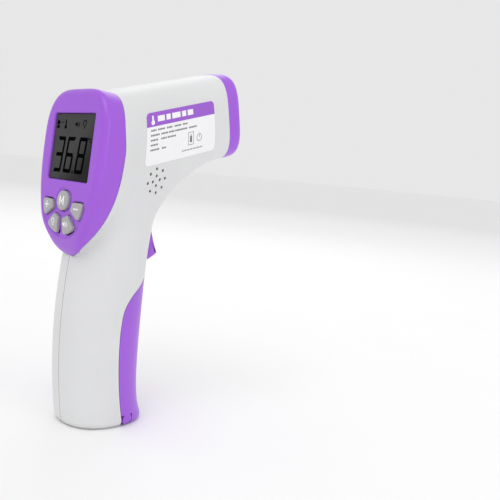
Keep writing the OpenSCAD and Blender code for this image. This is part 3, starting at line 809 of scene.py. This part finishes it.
def digit_shapes(digit, x, y, w, h, slant):
    """Slanted seven-segment digit whose lower left corner is x, y."""
    half, gap = h / 2, 0.1
    inset = SEGMENT_W * 0.75
    shapes = []
    for key in SEGMENTS[digit]:
        if key in "ad":
            edge, inner = (h, h - SEGMENT_H) if key == "a" else (0, SEGMENT_H)
            shape = [(gap, edge), (gap + inset, inner), (w - gap - inset, inner), (w - gap, edge)]
            if key == "d":
                shape = shape[:1] + shape[:0:-1]
        elif key == "g":
            tip, body = gap + 0.1, gap + 0.6
            shape = [(tip, half), (body, half + SEGMENT_H / 2), (w - body, half + SEGMENT_H / 2),
                     (w - tip, half), (w - body, half - SEGMENT_H / 2), (body, half - SEGMENT_H / 2)]
        else:
            upper, left = key in "fb", key in "fe"
            low, high = (half + 0.25, h - 0.45) if upper else (0.45, half - 0.25)
            edge, inner = (0, SEGMENT_W) if left else (w, w - SEGMENT_W)
            trim_low, trim_high = (0.25, 0.95) if upper else (0.95, 0.25)
            shape = [(edge, low), (inner, low + trim_low), (inner, high - trim_high), (edge, high)]
            if not left:
                shape = shape[::-1]
        shapes.append([(x + a + slant * b, y + b) for a, b in shape])
    return shapes


def display_shapes():
    """Everything that the display shows: a mode sign, two status signs, the reading and its unit."""
    shapes = []
    for digit, x in (("3", -11.9), ("6", -4.65), ("8", 3.5)):
        shapes += digit_shapes(digit, x, -10.8, 5.6, 14.9, 0.092)
    shapes.append(disc(2.35, -10.25, 0.55))
    shapes += moved(sound_sign(), 2.3, 9.3, 1.15)
    shapes += moved(bulb_sign(), 7.0, 9.35, 1.25)
    shapes += arc(10.9, 3.6, 0.4, 0.26, 0, 355, 16) + arc(12.5, 2.9, 0.75, 0.34, 45, 315, 16)
    # Mode sign: a head in front of a measuring beam, and a small thermometer
    shapes += [disc(-11.9, 9.9, 1.05), [(-13.1, 7.6), (-10.7, 7.6), (-11.0, 8.7), (-12.8, 8.7)]]
    shapes += [bar(-10.3, 10.0, -9.3, 10.0, 0.3), bar(-8.9, 10.0, -7.9, 10.0, 0.3)]
    shapes += [bar(-6.4, 8.3, -6.4, 11.2, 0.75), disc(-6.4, 8.1, 0.85)]
    return shapes


def build_display():
    """Glossy lens in the window, with the reading on it."""
    rings = []
    for g, depth in ((-0.6, 0.0), (-0.25, 0.03), (-0.05, 0.14), (0, 0.3), (0, 1.0)):
        o = rounded(LCD_W - 0.1 + 2 * g, LCD_H - 0.1 + 2 * g, 0.95 + max(g, -0.5), 6)
        if not rings:
            rings.append(on_face(*(o * 0.05).T, WINDOW_SINK + depth))
        rings.append(on_face(o[:, 0], o[:, 1], WINDOW_SINK + depth))
    lens = piece_from("display_lens", *loft(rings))
    finish_piece(lens, "root", "display_lens", "lcd_window")
    place = lambda x, y, h: on_face(x, y, WINDOW_SINK - h)
    decal("display_reading", display_shapes(), place, "root", "display_lens", "display_ink", 0.03, 30)


def build_keys():
    """Five keys, each with its printed sign."""
    side, low = MODE_S - 2.6, MODE_S - 9.4
    signs = {
        "mode_button": moved(letter_m(3.3, 3.7, 0.62), 0, MODE_S),
        "plus_button": moved([bar(-1.5, 0, 1.5, 0, 0.55), bar(0, 0.28, 0, 1.5, 0.55),
                              bar(0, -0.28, 0, -1.5, 0.55)], -10.5, side),
        "minus_button": moved([bar(-1.6, 0, 1.6, 0, 0.55)], 10.5, side),
        "light_button": moved(bulb_sign(), -4.6, low, 1.15),
        "sound_button": moved(sound_sign(), 4.6, low, 1.2)}
    for name in KEYS:
        build_key(name)
        place = lambda x, y, h: on_face(x, y, -key_top(name, np.stack([x, y], 1)) - h)
        decal(name.replace("button", "sign"), signs[name], place, name, "grey_keys", "key_print", 0.035, 0.6)


# ---- Nose -----------------------------------------------------------------------------------

def build_nose():
    """Nose ring with a rounded front, and the black hood with the sensor's cone inside it."""
    count = 200
    rows = [nose_ring_at(0.3, 0.04, count), nose_ring_at(0.06, 0.16, count), nose_ring_at(0, 0.4, count)]
    for t in np.linspace(0.4, 5.4, 8)[1:]:
        rows.append(nose_ring_at(0, t, count))
    for a in np.linspace(0, math.pi / 2, 10)[1:]:
        rows.append(nose_ring_at(2.0 * (1 - math.cos(a)), 5.4 + 3.38 * math.sin(a), count))
    rows += [nose_ring_at(2.45, 8.66, count), nose_ring_at(2.62, 8.2, count), nose_ring_at(2.62, 0.04, count)]
    ring = piece_from("nose_ring_smooth", *closed_loop(rows), angle=40)
    finish_piece(ring, "root", "purple_abs", "nose_ring")

    f = turn(count)
    plate = super_radius(NOSE_W / 2 - 2.7, NOSE_H / 2 - 2.7, NOSE_N, f)
    dish = lambda r, t: in_barrel(r * np.cos(f), r * np.sin(f), t)
    rows = [dish(plate, 5.3), dish(plate, 6.55), dish(plate - 0.2, 6.78)]
    for k in np.linspace(0, 1, 8)[1:]:
        rows.append(dish((plate - 0.2) * (1 - k) + 10.5 * k, 6.78))
    cone = ((10.1, 6.74), (9.85, 6.6), (9.7, 6.3), (4.3, -4.3), (4.15, -4.7), (4.15, -6.0), (6.9, -6.0))
    rows += [dish(r + 0 * f, t) for r, t in cone]
    rows += [dish(11.1 + 0 * f, 5.2), dish((plate + 11.1) / 2, 5.25)]
    hood = piece_from("sensor_cone", *closed_loop(rows), angle=40)
    finish_piece(hood, "root", "black_abs", "sensor_hood")


# ---- Trigger and battery cover --------------------------------------------------------------

def build_trigger():
    """Wedge with a slightly hollow finger face and rounded edges, bored for its pin."""
    front = smooth_route([(14.6, 87.75), (15.9, 87.1), (17.0, 84), (18.9, 79.2), (20.9, 74.9), (20.7, 73.9),
                          (18.2, 72.2), (15, 70.7)], 8)
    back = np.array([(10.1, 70.7), (10.05, 80), (8.65, 83.4), (8.3, 86), (9.65, 87.9)])
    side = np.concatenate([front, back])
    half = TRIGGER_W / 2 - 0.02
    # How far in from each end, and how far the outline is drawn in there
    rounding = ((0, 1.25), (0.12, 0.75), (0.4, 0.32), (0.85, 0.08), (1.4, 0.0))
    levels = [(half - a, g) for a, g in rounding]
    levels += [(-x, g) for x, g in levels[::-1]]
    end = side.mean(0) + (grown(side, -rounding[0][1]) - side.mean(0)) * 0.05
    rings = [across(*grown(side, -g).T, x) for x, g in levels]
    rings = [across(*end.T, half)] + rings + [across(*end.T, -half)]
    trigger = piece_from("trigger_lever", *loft(rings), angle=45)
    bore = rod("bore", TRIGGER_Y, TRIGGER_Z, -20, 20, ((0, PIN_BORE), (1, PIN_BORE)))
    carve(trigger, bore, angle=45)
    carve(trigger, block("fork", (-2.2, 5, 78), (2.2, TRIGGER_Y + 2.3, TRIGGER_Z + 4)), angle=45)
    finish_piece(trigger, "trigger", "purple_abs", "trigger")


def build_cover():
    """Front of the grip, with a knuckle on each side of the tray's lug at its foot."""
    cover = piece_from("battery_door", *loft(grip_rings(260)))
    whole = bpy.data.objects.new("whole_grip", cover.data.copy())
    bpy.context.scene.collection.objects.link(whole)
    carve(cover, piece_from("cover_inner", *loft(grip_rings(200, WALL, WALL))))
    carve(cover, prism("cover_block", cover_outline(0), across, -30, 30), "INTERSECT")
    carve(cover, block("hinge_room", (-30, -30, -5), (30, HINGE_Y + 3, HINGE_Z + 2)))
    for side in (-1, 1):
        lug, web_end, far = 8.0 * side, 11.0 * side, 20.0 * side
        knuckle = rod("knuckle", HINGE_Y, HINGE_Z, min(lug, far), max(lug, far),
                      ((0, KNUCKLE_R - 0.3), (0.03, KNUCKLE_R), (0.97, KNUCKLE_R), (1, KNUCKLE_R - 0.3)))
        carve(knuckle, whole, "INTERSECT", keep=True)
        web = block("web", (min(lug, web_end), HINGE_Y + 0.5, 0.7), (max(lug, web_end), HINGE_Y + 4, 2.4))
        carve(cover, knuckle, "UNION")
        carve(cover, web, "UNION")
    drop(whole)
    carve(cover, rod("pin_bore", HINGE_Y, HINGE_Z, -12.95, 12.95, ((0, PIN_BORE), (1, PIN_BORE))))
    finish_piece(cover, "battery_cover", "purple_abs", "battery_cover")


# ---- Label ----------------------------------------------------------------------------------

# Its corners in the side view: upper rear, upper front, lower front, lower rear
LABEL = [(-4.7, 134.0), (37.4, 145.0), (42.0, 123.3), (-3.2, 112.4)]


def label_point(u, v):
    """Side view place of label coordinates, u along it and v up it, both 0 to 1."""
    tl, tr, br, bl = (np.array(c) for c in LABEL)
    u, v = np.asarray(u, float)[..., None], np.asarray(v, float)[..., None]
    return (bl * (1 - u) + br * u) * (1 - v) + (tl * (1 - u) + tr * u) * v


def on_label(outer):
    """A placer that lays label coordinates, in millimetres from its lower left, on the barrel."""
    def place(x, y, height):
        side = label_point(np.asarray(x) / LABEL_W, np.asarray(y) / LABEL_H)
        out = []
        for (py, pz) in side.reshape(-1, 2):
            hit, normal, _, _ = outer.ray_cast(Vector((60, py, pz)), Vector((-1, 0, 0)))
            out.append(hit + normal * height)
        return np.array(out)
    return place


def dashes(x0, x1, y, length, step, height):
    """Row of short dashes that stands for a line of print."""
    return [bar(x, y, min(x + length, x1), y, height) for x in np.arange(x0, x1 - 0.35, step)]


def label_marks():
    """Rows of dashes, and two pictograms: an upright frame with a cell, and a round power mark."""
    rows = [(14.3, ((2.4, 5.4), (6.4, 11.0), (11.8, 15.0), (16.4, 21.0), (21.6, 24.6))),
            (12.3, ((2.4, 7.4), (8.4, 12.4), (13.0, 16.2), (16.8, 24.8), (25.6, 31.0))),
            (10.3, ((2.4, 7.0), (8.4, 11.6), (12.2, 17.6))),
            (8.3, ((2.4, 6.6),)),
            (6.3, ((2.4, 7.4), (9.0, 11.4)))]
    marks = []
    for y, spans in rows:
        for x0, x1 in spans:
            marks += dashes(x0, x1, y, 0.62, 0.86, 0.72)
    marks += dashes(21.5, 34.85, 2.9, 0.5, 0.95, 0.62)
    marks += [bar(25.2, 4.9, 25.2, 10.2, 0.22), bar(28.4, 4.9, 28.4, 10.2, 0.22),
              bar(25.09, 10.2, 28.51, 10.2, 0.22), bar(25.09, 4.9, 28.51, 4.9, 0.22),
              bar(26.8, 5.9, 26.8, 8.6, 1.2), bar(26.8, 8.75, 26.8, 9.25, 0.6)]
    return marks + [bar(32.2, 7.4, 32.2, 9.3, 0.3)] + arc(32.2, 7.3, 1.55, 0.26, 115, 425, 22)


def build_label(outer):
    """Film on the right side of the barrel, and its print in layers on it."""
    place = on_label(outer)

    def above(base):
        return lambda x, y, h: place(x, y, base + h)

    sheet = [(LABEL_W / 2 + a, LABEL_H / 2 + b) for a, b in rounded(LABEL_W, LABEL_H, 1.9, 7)]
    film = decal("label_film", [sheet], above(0.05), "root", "label_film", None, 0.06, 1.0)
    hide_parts("side_label")
    foot = LABEL_H - LABEL_BAND
    band = [p for p in sheet if p[1] > foot] + [(0, foot), (LABEL_W, foot)]
    decal("label_heading", [band], above(0.11), "root", "label_film", "heading_print", 0.02, 1.0)
    # A thermometer sign, and plain bars in place of words
    y = LABEL_H - 2.9
    heading = [bar(3.6, y - 0.9, 3.6, y + 1.6, 0.9), disc(3.6, y - 1.2, 1.0)]
    for x0, x1 in ((6.4, 10.6), (11.6, 14.2), (15.2, 20.4), (21.4, 24.0), (25.0, 28.6)):
        heading.append(bar(x0, y, x1, y, 2.3))
    decal("label_heading_bars", heading, above(0.13), "root", "label_film", "white_print", 0.02, 1.0)
    decal("label_rows", label_marks(), above(0.11), "root", "label_film", "grey_print", 0.02, 1.0)


# ---- Batteries and screws -------------------------------------------------------------------

def build_cells():
    """Two cells, one upright and one upside down, turned from one profile of (radius, height)."""
    f = turn(64)
    foot = [(0.4, 0.15), (2.6, 0.15), (2.8, 0.0), (4.6, 0.0), (CELL_R - 0.15, 0.2), (CELL_R, 0.7)]
    # The upper end's heights are measured down from the button
    head = [(CELL_R, 2.1), (CELL_R - 0.15, 1.6), (4.5, 1.35), (4.2, 1.4), (4.0, 1.15), (2.1, 1.0), (1.9, 0.9),
            (1.88, 0.2), (1.6, 0.0), (0.1, 0.0)]
    profile = foot + [(r, CELL_L - down) for r, down in head]
    for name, x, up in (("battery_left", -CELL_X, True), ("battery_right", CELL_X, False)):
        rings = [np.stack([x + r * np.cos(f), CELL_Y + r * np.sin(f),
                           np.full(64, CELL_Z + (z if up else CELL_L - z))], 1) for r, z in profile]
        cell = piece_from(name.replace("battery", "cell"), *loft(rings), angle=40)
        finish_piece(cell, "root", "cell_wrap", name, "cell_wrap" if up else "cell_wrap_down")


def build_screws():
    """Pan-head screws in the left shell's recesses, with crossed slots."""
    profile = ((0, 0.3), (0.0, 1.5), (0.02, 2.0), (0.05, 2.3), (0.08, 2.38), (0.127, 2.4), (0.128, 1.1),
               (0.97, 1.1), (1, 0.7))
    heads = []
    for y, z in SCREWS:
        head = rod("screw", y, z, -9.6, 3, profile, 40)
        for w, h in ((2.7, 0.6), (0.6, 2.7)):
            slot = prism("slot", rounded(w, h, 0.15, 3) + np.array([y, z]), across, -10.4, -8.9)
            carve(head, slot, angle=40)
        heads.append(head)
    screws = join(*heads)
    screws.name = "pan_head_screws"
    finish_piece(screws, "root", "steel", "shell_screws")


# ---- Finishes -------------------------------------------------------------------------------

class Signal:
    """One output of a finish's nodes. Python's operators on it add Math nodes."""

    def __init__(self, finish, socket):
        self.finish, self.socket = finish, socket

    def _math(self, operation, *values):
        return self.finish.node("ShaderNodeMath", {"operation": operation}, dict(enumerate(values)))

    def __add__(self, other):
        return self._math("ADD", self, other)

    def __sub__(self, other):
        return self._math("SUBTRACT", self, other)

    def __rsub__(self, other):
        return self._math("SUBTRACT", other, self)

    def __mul__(self, other):
        return self._math("MULTIPLY", self, other)

    def __truediv__(self, other):
        return self._math("DIVIDE", self, other)

    __radd__, __rmul__ = __add__, __mul__

    def size(self):
        return self._math("ABSOLUTE", self)

    def wave(self):
        return self._math("SINE", self)

    def step(self, low, high):
        """0 below low, 1 above high, and a soft ramp between."""
        return self.finish.node("ShaderNodeMapRange", {"interpolation_type": "SMOOTHSTEP"},
                                {"Value": self, "From Min": low, "From Max": high})


class Finish:
    """A material for one kind of surface, with its pattern in millimetres of the object."""

    def __init__(self, name, **constants):
        self.name = name
        self.material = bpy.data.materials.new(name)
        self.material.use_nodes = True
        self.tree = self.material.node_tree
        self.shader = self.tree.nodes["Principled BSDF"]
        for key, value in constants.items():
            self.shader.inputs[key.replace("_", " ")].default_value = value
        place = self.node("ShaderNodeTexCoord", {}, {}, "Object")
        self.place = self.node("ShaderNodeVectorMath", {"operation": "SCALE"}, {0: place, "Scale": 1000.0})
        axes = self.tree.nodes.new("ShaderNodeSeparateXYZ")
        self.tree.links.new(self.place.socket, axes.inputs[0])
        self.x, self.y, self.z = (Signal(self, axes.outputs[i]) for i in range(3))

    def node(self, kind, settings, inputs, out=0):
        """Any node: its type, its settings, which come first, then its sockets' values or links."""
        made = self.tree.nodes.new(kind)
        for key, value in settings.items():
            setattr(made, key, value)
        for key, value in inputs.items():
            if isinstance(value, Signal):
                self.tree.links.new(value.socket, made.inputs[key])
            else:
                made.inputs[key].default_value = value
        return Signal(self, made.outputs[out])

    def noise(self, scale, detail=2.0, roughness=0.5):
        """Noise with scale features to a millimetre."""
        return self.node("ShaderNodeTexNoise", {}, {
            "Vector": self.place, "Scale": scale, "Detail": detail, "Roughness": roughness})

    def mix(self, factor, a, b):
        """Colour a where factor is 0, and b where it is 1."""
        inputs = {"Factor": factor}
        for key, value in ((6, a), (7, b)):
            inputs[key] = value if isinstance(value, Signal) else (*value, 1)
        return self.node("ShaderNodeMix", {"data_type": "RGBA"}, inputs, 2)

    def set(self, **links):
        """Links signals to the shader's sockets."""
        for key, value in links.items():
            self.tree.links.new(value.socket, self.shader.inputs[key.replace("_", " ")])
        return self

    def bump(self, height, strength, distance):
        """Relief of a height signal, distance in millimetres."""
        return self.set(Normal=self.node("ShaderNodeBump", {}, {
            "Height": height, "Strength": strength, "Distance": distance * MM}))

    def stretched(self, x, y, z):
        """The piece's coordinates, scaled along each axis."""
        return self.node("ShaderNodeVectorMath", {"operation": "MULTIPLY"}, {0: self.place, 1: (x, y, z)})


def shade(colour, k):
    """A colour made k times as light."""
    return tuple(min(1.0, c * k) for c in colour)


def moulded(name, colour, roughness, grain=2.2, depth=0.012, strength=0.25, coat=0.0, seam_dust_and_shade=False):
    """Moulded plastic: fine grain, faint cloudiness, uneven gloss, and on request a dark parting line at x =
    0, partly dust and partly painted shade in its groove.
    """
    f = Finish(name, Coat_Weight=coat, Coat_Roughness=0.12)
    cloud, fine = f.noise(0.03, 3), f.noise(grain, 3, 0.6)
    base = f.mix(cloud.step(0.3, 0.7), shade(colour, 0.975), shade(colour, 1.02))
    if seam_dust_and_shade:
        # Painted shade and dust: the parting line's groove is darkened to near black
        line = 1 - f.x.size().step(0.05, 0.2)
        base = f.mix(line * 0.8, base, (0.16, 0.16, 0.17))
    f.set(Base_Color=base, Roughness=f.noise(0.12, 4) * 0.08 + (roughness - 0.04) + fine * 0.03)
    return f.bump(fine, strength, depth)


def metal(name, colour, roughness):
    """Drawn metal, with fine lines along x."""
    f = Finish(name, Metallic=1.0)
    line = f.node("ShaderNodeTexNoise", {}, {"Vector": f.stretched(0.4, 6, 6), "Scale": 1.0, "Detail": 3.0})
    f.set(Base_Color=f.mix(line.step(0.25, 0.75), shade(colour, 0.85), colour),
          Roughness=line * 0.2 + (roughness - 0.1))
    return f.bump(line, 0.15, 0.01)


def board():
    """Solder mask with tracks and gilt pads."""
    f = Finish("circuit_board", Coat_Weight=0.3)
    tracks = f.node("ShaderNodeTexBrick", {"offset": 0.5}, {
        "Vector": f.stretched(1, 0, 1), "Scale": 0.45, "Mortar Size": 0.05,
        "Color1": (0, 0, 0, 1), "Color2": (0, 0, 0, 1), "Mortar": (1, 1, 1, 1)})
    pads = 1 - f.node("ShaderNodeTexVoronoi", {}, {"Vector": f.place, "Scale": 0.35}).step(0.18, 0.24)
    green = f.mix(tracks, (0.02, 0.16, 0.07), (0.05, 0.3, 0.13))
    f.set(Base_Color=f.mix(pads * 0.8, green, (0.75, 0.6, 0.3)), Roughness=f.noise(0.5) * 0.15 + 0.3)
    return f.bump(tracks, 0.3, 0.03)


def lens():
    """Dark display behind a clear lens: a deep grey with a faint check, and a painted reflection that makes
    it lighter at its upper left and darker at its lower right.
    """
    f = Finish("display_lens", Coat_Weight=0.03, Coat_Roughness=0.05, Specular_IOR_Level=0.12)
    # Painted reflection: a ramp that lightens the grey towards the upper left of the window
    painted_reflection_ramp = ((f.z - (FACE_Z - LCD_H / 2)) / LCD_H) * 0.9 - (f.x / LCD_W) * 0.9
    grey = f.mix(painted_reflection_ramp.step(-0.2, 0.45), (0.004, 0.004, 0.005), (0.045, 0.045, 0.046))
    cell = f.node("ShaderNodeTexChecker", {}, {"Vector": f.place, "Scale": 2.2,
                                              "Color1": (1, 1, 1, 1), "Color2": (0, 0, 0, 1)})
    f.set(Base_Color=f.mix(cell * 0.035, grey, (0.075, 0.075, 0.078)), Roughness=f.noise(0.4) * 0.05 + 0.32)
    return f


def wrap(name, low, high):
    """Printed sleeve of a cell between two heights, with bare steel beyond it."""
    f = Finish(name)
    sleeve = f.z.step(low, low + 0.05) * (1 - f.z.step(high, high + 0.05))
    band = f.z.step(low + 29, low + 29.1)
    rings = (f.z * 2.4).wave().step(0.6, 0.7)
    paint = f.mix(band, (0.03, 0.12, 0.42), (0.7, 0.72, 0.75))
    paint = f.mix(rings * 0.1, paint, (0.9, 0.9, 0.9))
    f.set(Base_Color=f.mix(sleeve, (0.62, 0.62, 0.64), paint), Metallic=1 - sleeve,
          Roughness=f.noise(0.8) * 0.12 + 0.26)
    return f.bump(f.noise(1.5), 0.1, 0.01)


def striped(name, colours, width):
    """Soft strip with bands across its length, or wires told apart by where they run."""
    f = Finish(name)
    band = (f.x * (math.pi / width)).wave().step(-0.2, 0.2)
    f.set(Base_Color=f.mix(band, *colours), Roughness=f.noise(1.0) * 0.2 + 0.45)
    return f.bump(f.noise(2.0, 3), 0.2, 0.02)


def printed(name, colour, roughness=0.5, gloss=0.5):
    """Screen print: even ink with a slightly broken surface."""
    f = Finish(name, Specular_IOR_Level=gloss)
    patch = f.noise(3.0, 4)
    f.set(Base_Color=f.mix(patch.step(0.35, 0.65), shade(colour, 0.94), colour),
          Roughness=patch * 0.1 + roughness)
    return f.bump(patch, 0.12, 0.008)


def foam():
    """Black foam and speaker cloth, with open cells."""
    f = Finish("foam")
    cells = f.node("ShaderNodeTexVoronoi", {}, {"Vector": f.place, "Scale": 2.5})
    f.set(Base_Color=f.mix(cells.step(0.1, 0.6), (0.01, 0.01, 0.01), (0.06, 0.06, 0.06)),
          Roughness=cells * 0.1 + 0.8)
    return f.bump(cells, 0.6, 0.1)


def panel_glass():
    """Display cell behind the lens: grey green glass."""
    f = Finish("display_glass", Coat_Weight=0.5)
    f.set(Base_Color=f.mix(f.noise(0.1).step(0.3, 0.7), (0.17, 0.18, 0.17), (0.22, 0.23, 0.22)),
          Roughness=f.noise(0.5) * 0.06 + 0.1)
    return f


def make_finishes():
    """Every material by name: the record's slots, and the inks and sleeves that only pieces use."""
    red, black = (0.5, 0.03, 0.02), (0.03, 0.03, 0.035)
    made = [
        moulded("white_abs", WHITE, 0.36, seam_dust_and_shade=True),
        moulded("purple_abs", PURPLE, 0.34, 2.0, 0.008, 0.16, 0.15),
        moulded("grey_keys", GREY, 0.4, 2.6, 0.01, 0.2),
        moulded("label_film", (0.88, 0.88, 0.895), 0.3, 0.9, 0.006, 0.1),
        moulded("diffuser", (0.86, 0.86, 0.84), 0.5),
        moulded("led_epoxy", (0.88, 0.8, 0.45), 0.2),
        moulded("black_epoxy", (0.025, 0.025, 0.027), 0.5, 3.0, 0.02, 0.4),
        moulded("black_abs", (0.022, 0.022, 0.025), 0.4, 2.4, 0.015, 0.35),
        moulded("inner_abs", (0.68, 0.68, 0.66), 0.48, 1.6, 0.02, 0.3),
        lens(), panel_glass(), board(), foam(),
        metal("steel", (0.62, 0.63, 0.65), 0.28),
        metal("gilt", (0.9, 0.66, 0.3), 0.2),
        striped("silicone_strip", ((0.7, 0.3, 0.42), (0.08, 0.08, 0.09)), 0.3),
        striped("wire_cover", (red, black), 2.0),
        wrap("cell_wrap", CELL_Z + 0.7, CELL_Z + 42.6),
        wrap("cell_wrap_down", CELL_Z + CELL_L - 42.6, CELL_Z + CELL_L - 0.7),
        printed("display_ink", (0.002, 0.002, 0.0025), 0.6, 0.0),
        printed("key_print", (0.88, 0.88, 0.88)),
        printed("heading_print", (0.33, 0.1, 0.62), 0.34),
        printed("white_print", (0.9, 0.9, 0.92)),
        printed("grey_print", (0.12, 0.12, 0.13))]
    return {f.name: f.material for f in made}


MATERIALS = make_finishes()


def finish_piece(piece, body, slot, replaced=None, material=None):
    """Gives a piece its finish, its body and the node that it stands for."""
    piece.data.materials.clear()
    piece.data.materials.append(MATERIALS[material or slot])
    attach(piece, body)
    if replaced:
        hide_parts(replaced)


def finish_nodes():
    """Gives each CAD node that stays in view the finish of its slot."""
    for row in frame["record"]["subparts"]:
        mesh = nodes[row["node"]].data
        mesh.materials.clear()
        mesh.materials.append(MATERIALS[row["material_slot"]])


# ---- Studio ---------------------------------------------------------------------------------

def build_floor():
    """Pale paper floor, with painted shade that makes it a little darker far off, where it meets the
    background.
    """
    mesh = bpy.data.meshes.new("floor")
    mesh.from_pydata([(-40, -40, 0), (40, -40, 0), (40, 40, 0), (-40, 40, 0)], [], [(0, 1, 2, 3)])
    floor = bpy.data.objects.new("floor", mesh)
    pale = Finish("floor_paper")
    square_metres = (pale.x * pale.x + pale.y * pale.y) * 1e-6
    paper = pale.mix(pale.noise(0.02), (0.9, 0.9, 0.9), (0.92, 0.92, 0.92))
    # Painted shade: the paper's colour falls to a darker grey far from the middle
    pale.set(Base_Color=pale.mix(square_metres.step(0.05, 6), paper, (0.76, 0.76, 0.76)),
             Roughness=pale.noise(0.5) * 0.05 + 0.75)
    mesh.materials.append(pale.material)
    bpy.context.scene.collection.objects.link(floor)


def build_lights():
    """White surroundings, a wide soft sun and two panels, as (size, power), aimed at the barrel."""
    world = bpy.data.worlds.new("studio")
    world.use_nodes = True
    sky = world.node_tree.nodes["Background"]
    sky.inputs["Color"].default_value, sky.inputs["Strength"].default_value = (1, 1, 1, 1), 0.8
    bpy.context.scene.world = world
    target = Vector((0, 0.015, 0.1))
    for name, kind, place, size, power in (
            ("sun", "SUN", (0.25, -0.55, 1.0), 0.7, 0.75), ("fill", "AREA", (0.9, 0.1, 0.35), 0.5, 0.9),
            ("back", "AREA", (-0.5, 0.6, 0.7), 0.6, 0.9)):
        lamp = bpy.data.lights.new(name, kind)
        lamp.energy = power
        if kind == "SUN":
            lamp.angle = size
        else:
            lamp.size = size
        panel = bpy.data.objects.new(name, lamp)
        panel.location = place
        panel.rotation_euler = (target - Vector(place)).to_track_quat("-Z", "Y").to_euler()
        bpy.context.scene.collection.objects.link(panel)


def build_camera():
    """Camera at the right rear, level with the display."""
    optics = bpy.data.cameras.new("camera")
    optics.lens, optics.sensor_width = 48.04, 36
    optics.shift_x, optics.shift_y = 0.211, -0.0834
    optics.clip_start, optics.clip_end = 0.01, 20
    camera = bpy.data.objects.new("camera", optics)
    right = Vector((0.650, 0.75409, 0.09459)).normalized()
    up = Vector((-0.112, -0.02846, 0.99344))
    up = (up - right * up.dot(right)).normalized()
    axes = Matrix((right, up, right.cross(up))).transposed().to_4x4()
    camera.matrix_world = Matrix.Translation(Vector((227.43, -181.96, 113.68)) * MM) @ axes
    bpy.context.scene.collection.objects.link(camera)
    bpy.context.scene.camera = camera
    bpy.context.scene.view_settings.view_transform = "Standard"


finish_nodes()
shells, barrel_skin = build_shells()
for shell, node in zip(shells, ("left_shell", "right_shell")):
    finish_piece(shell, "root", "white_abs", node)
build_bezel()
build_display()
build_keys()
build_nose()
build_trigger()
build_cover()
build_label(barrel_skin)
build_speaker_cloth(barrel_skin)
build_cells()
build_screws()
build_floor()
build_lights()
build_camera()
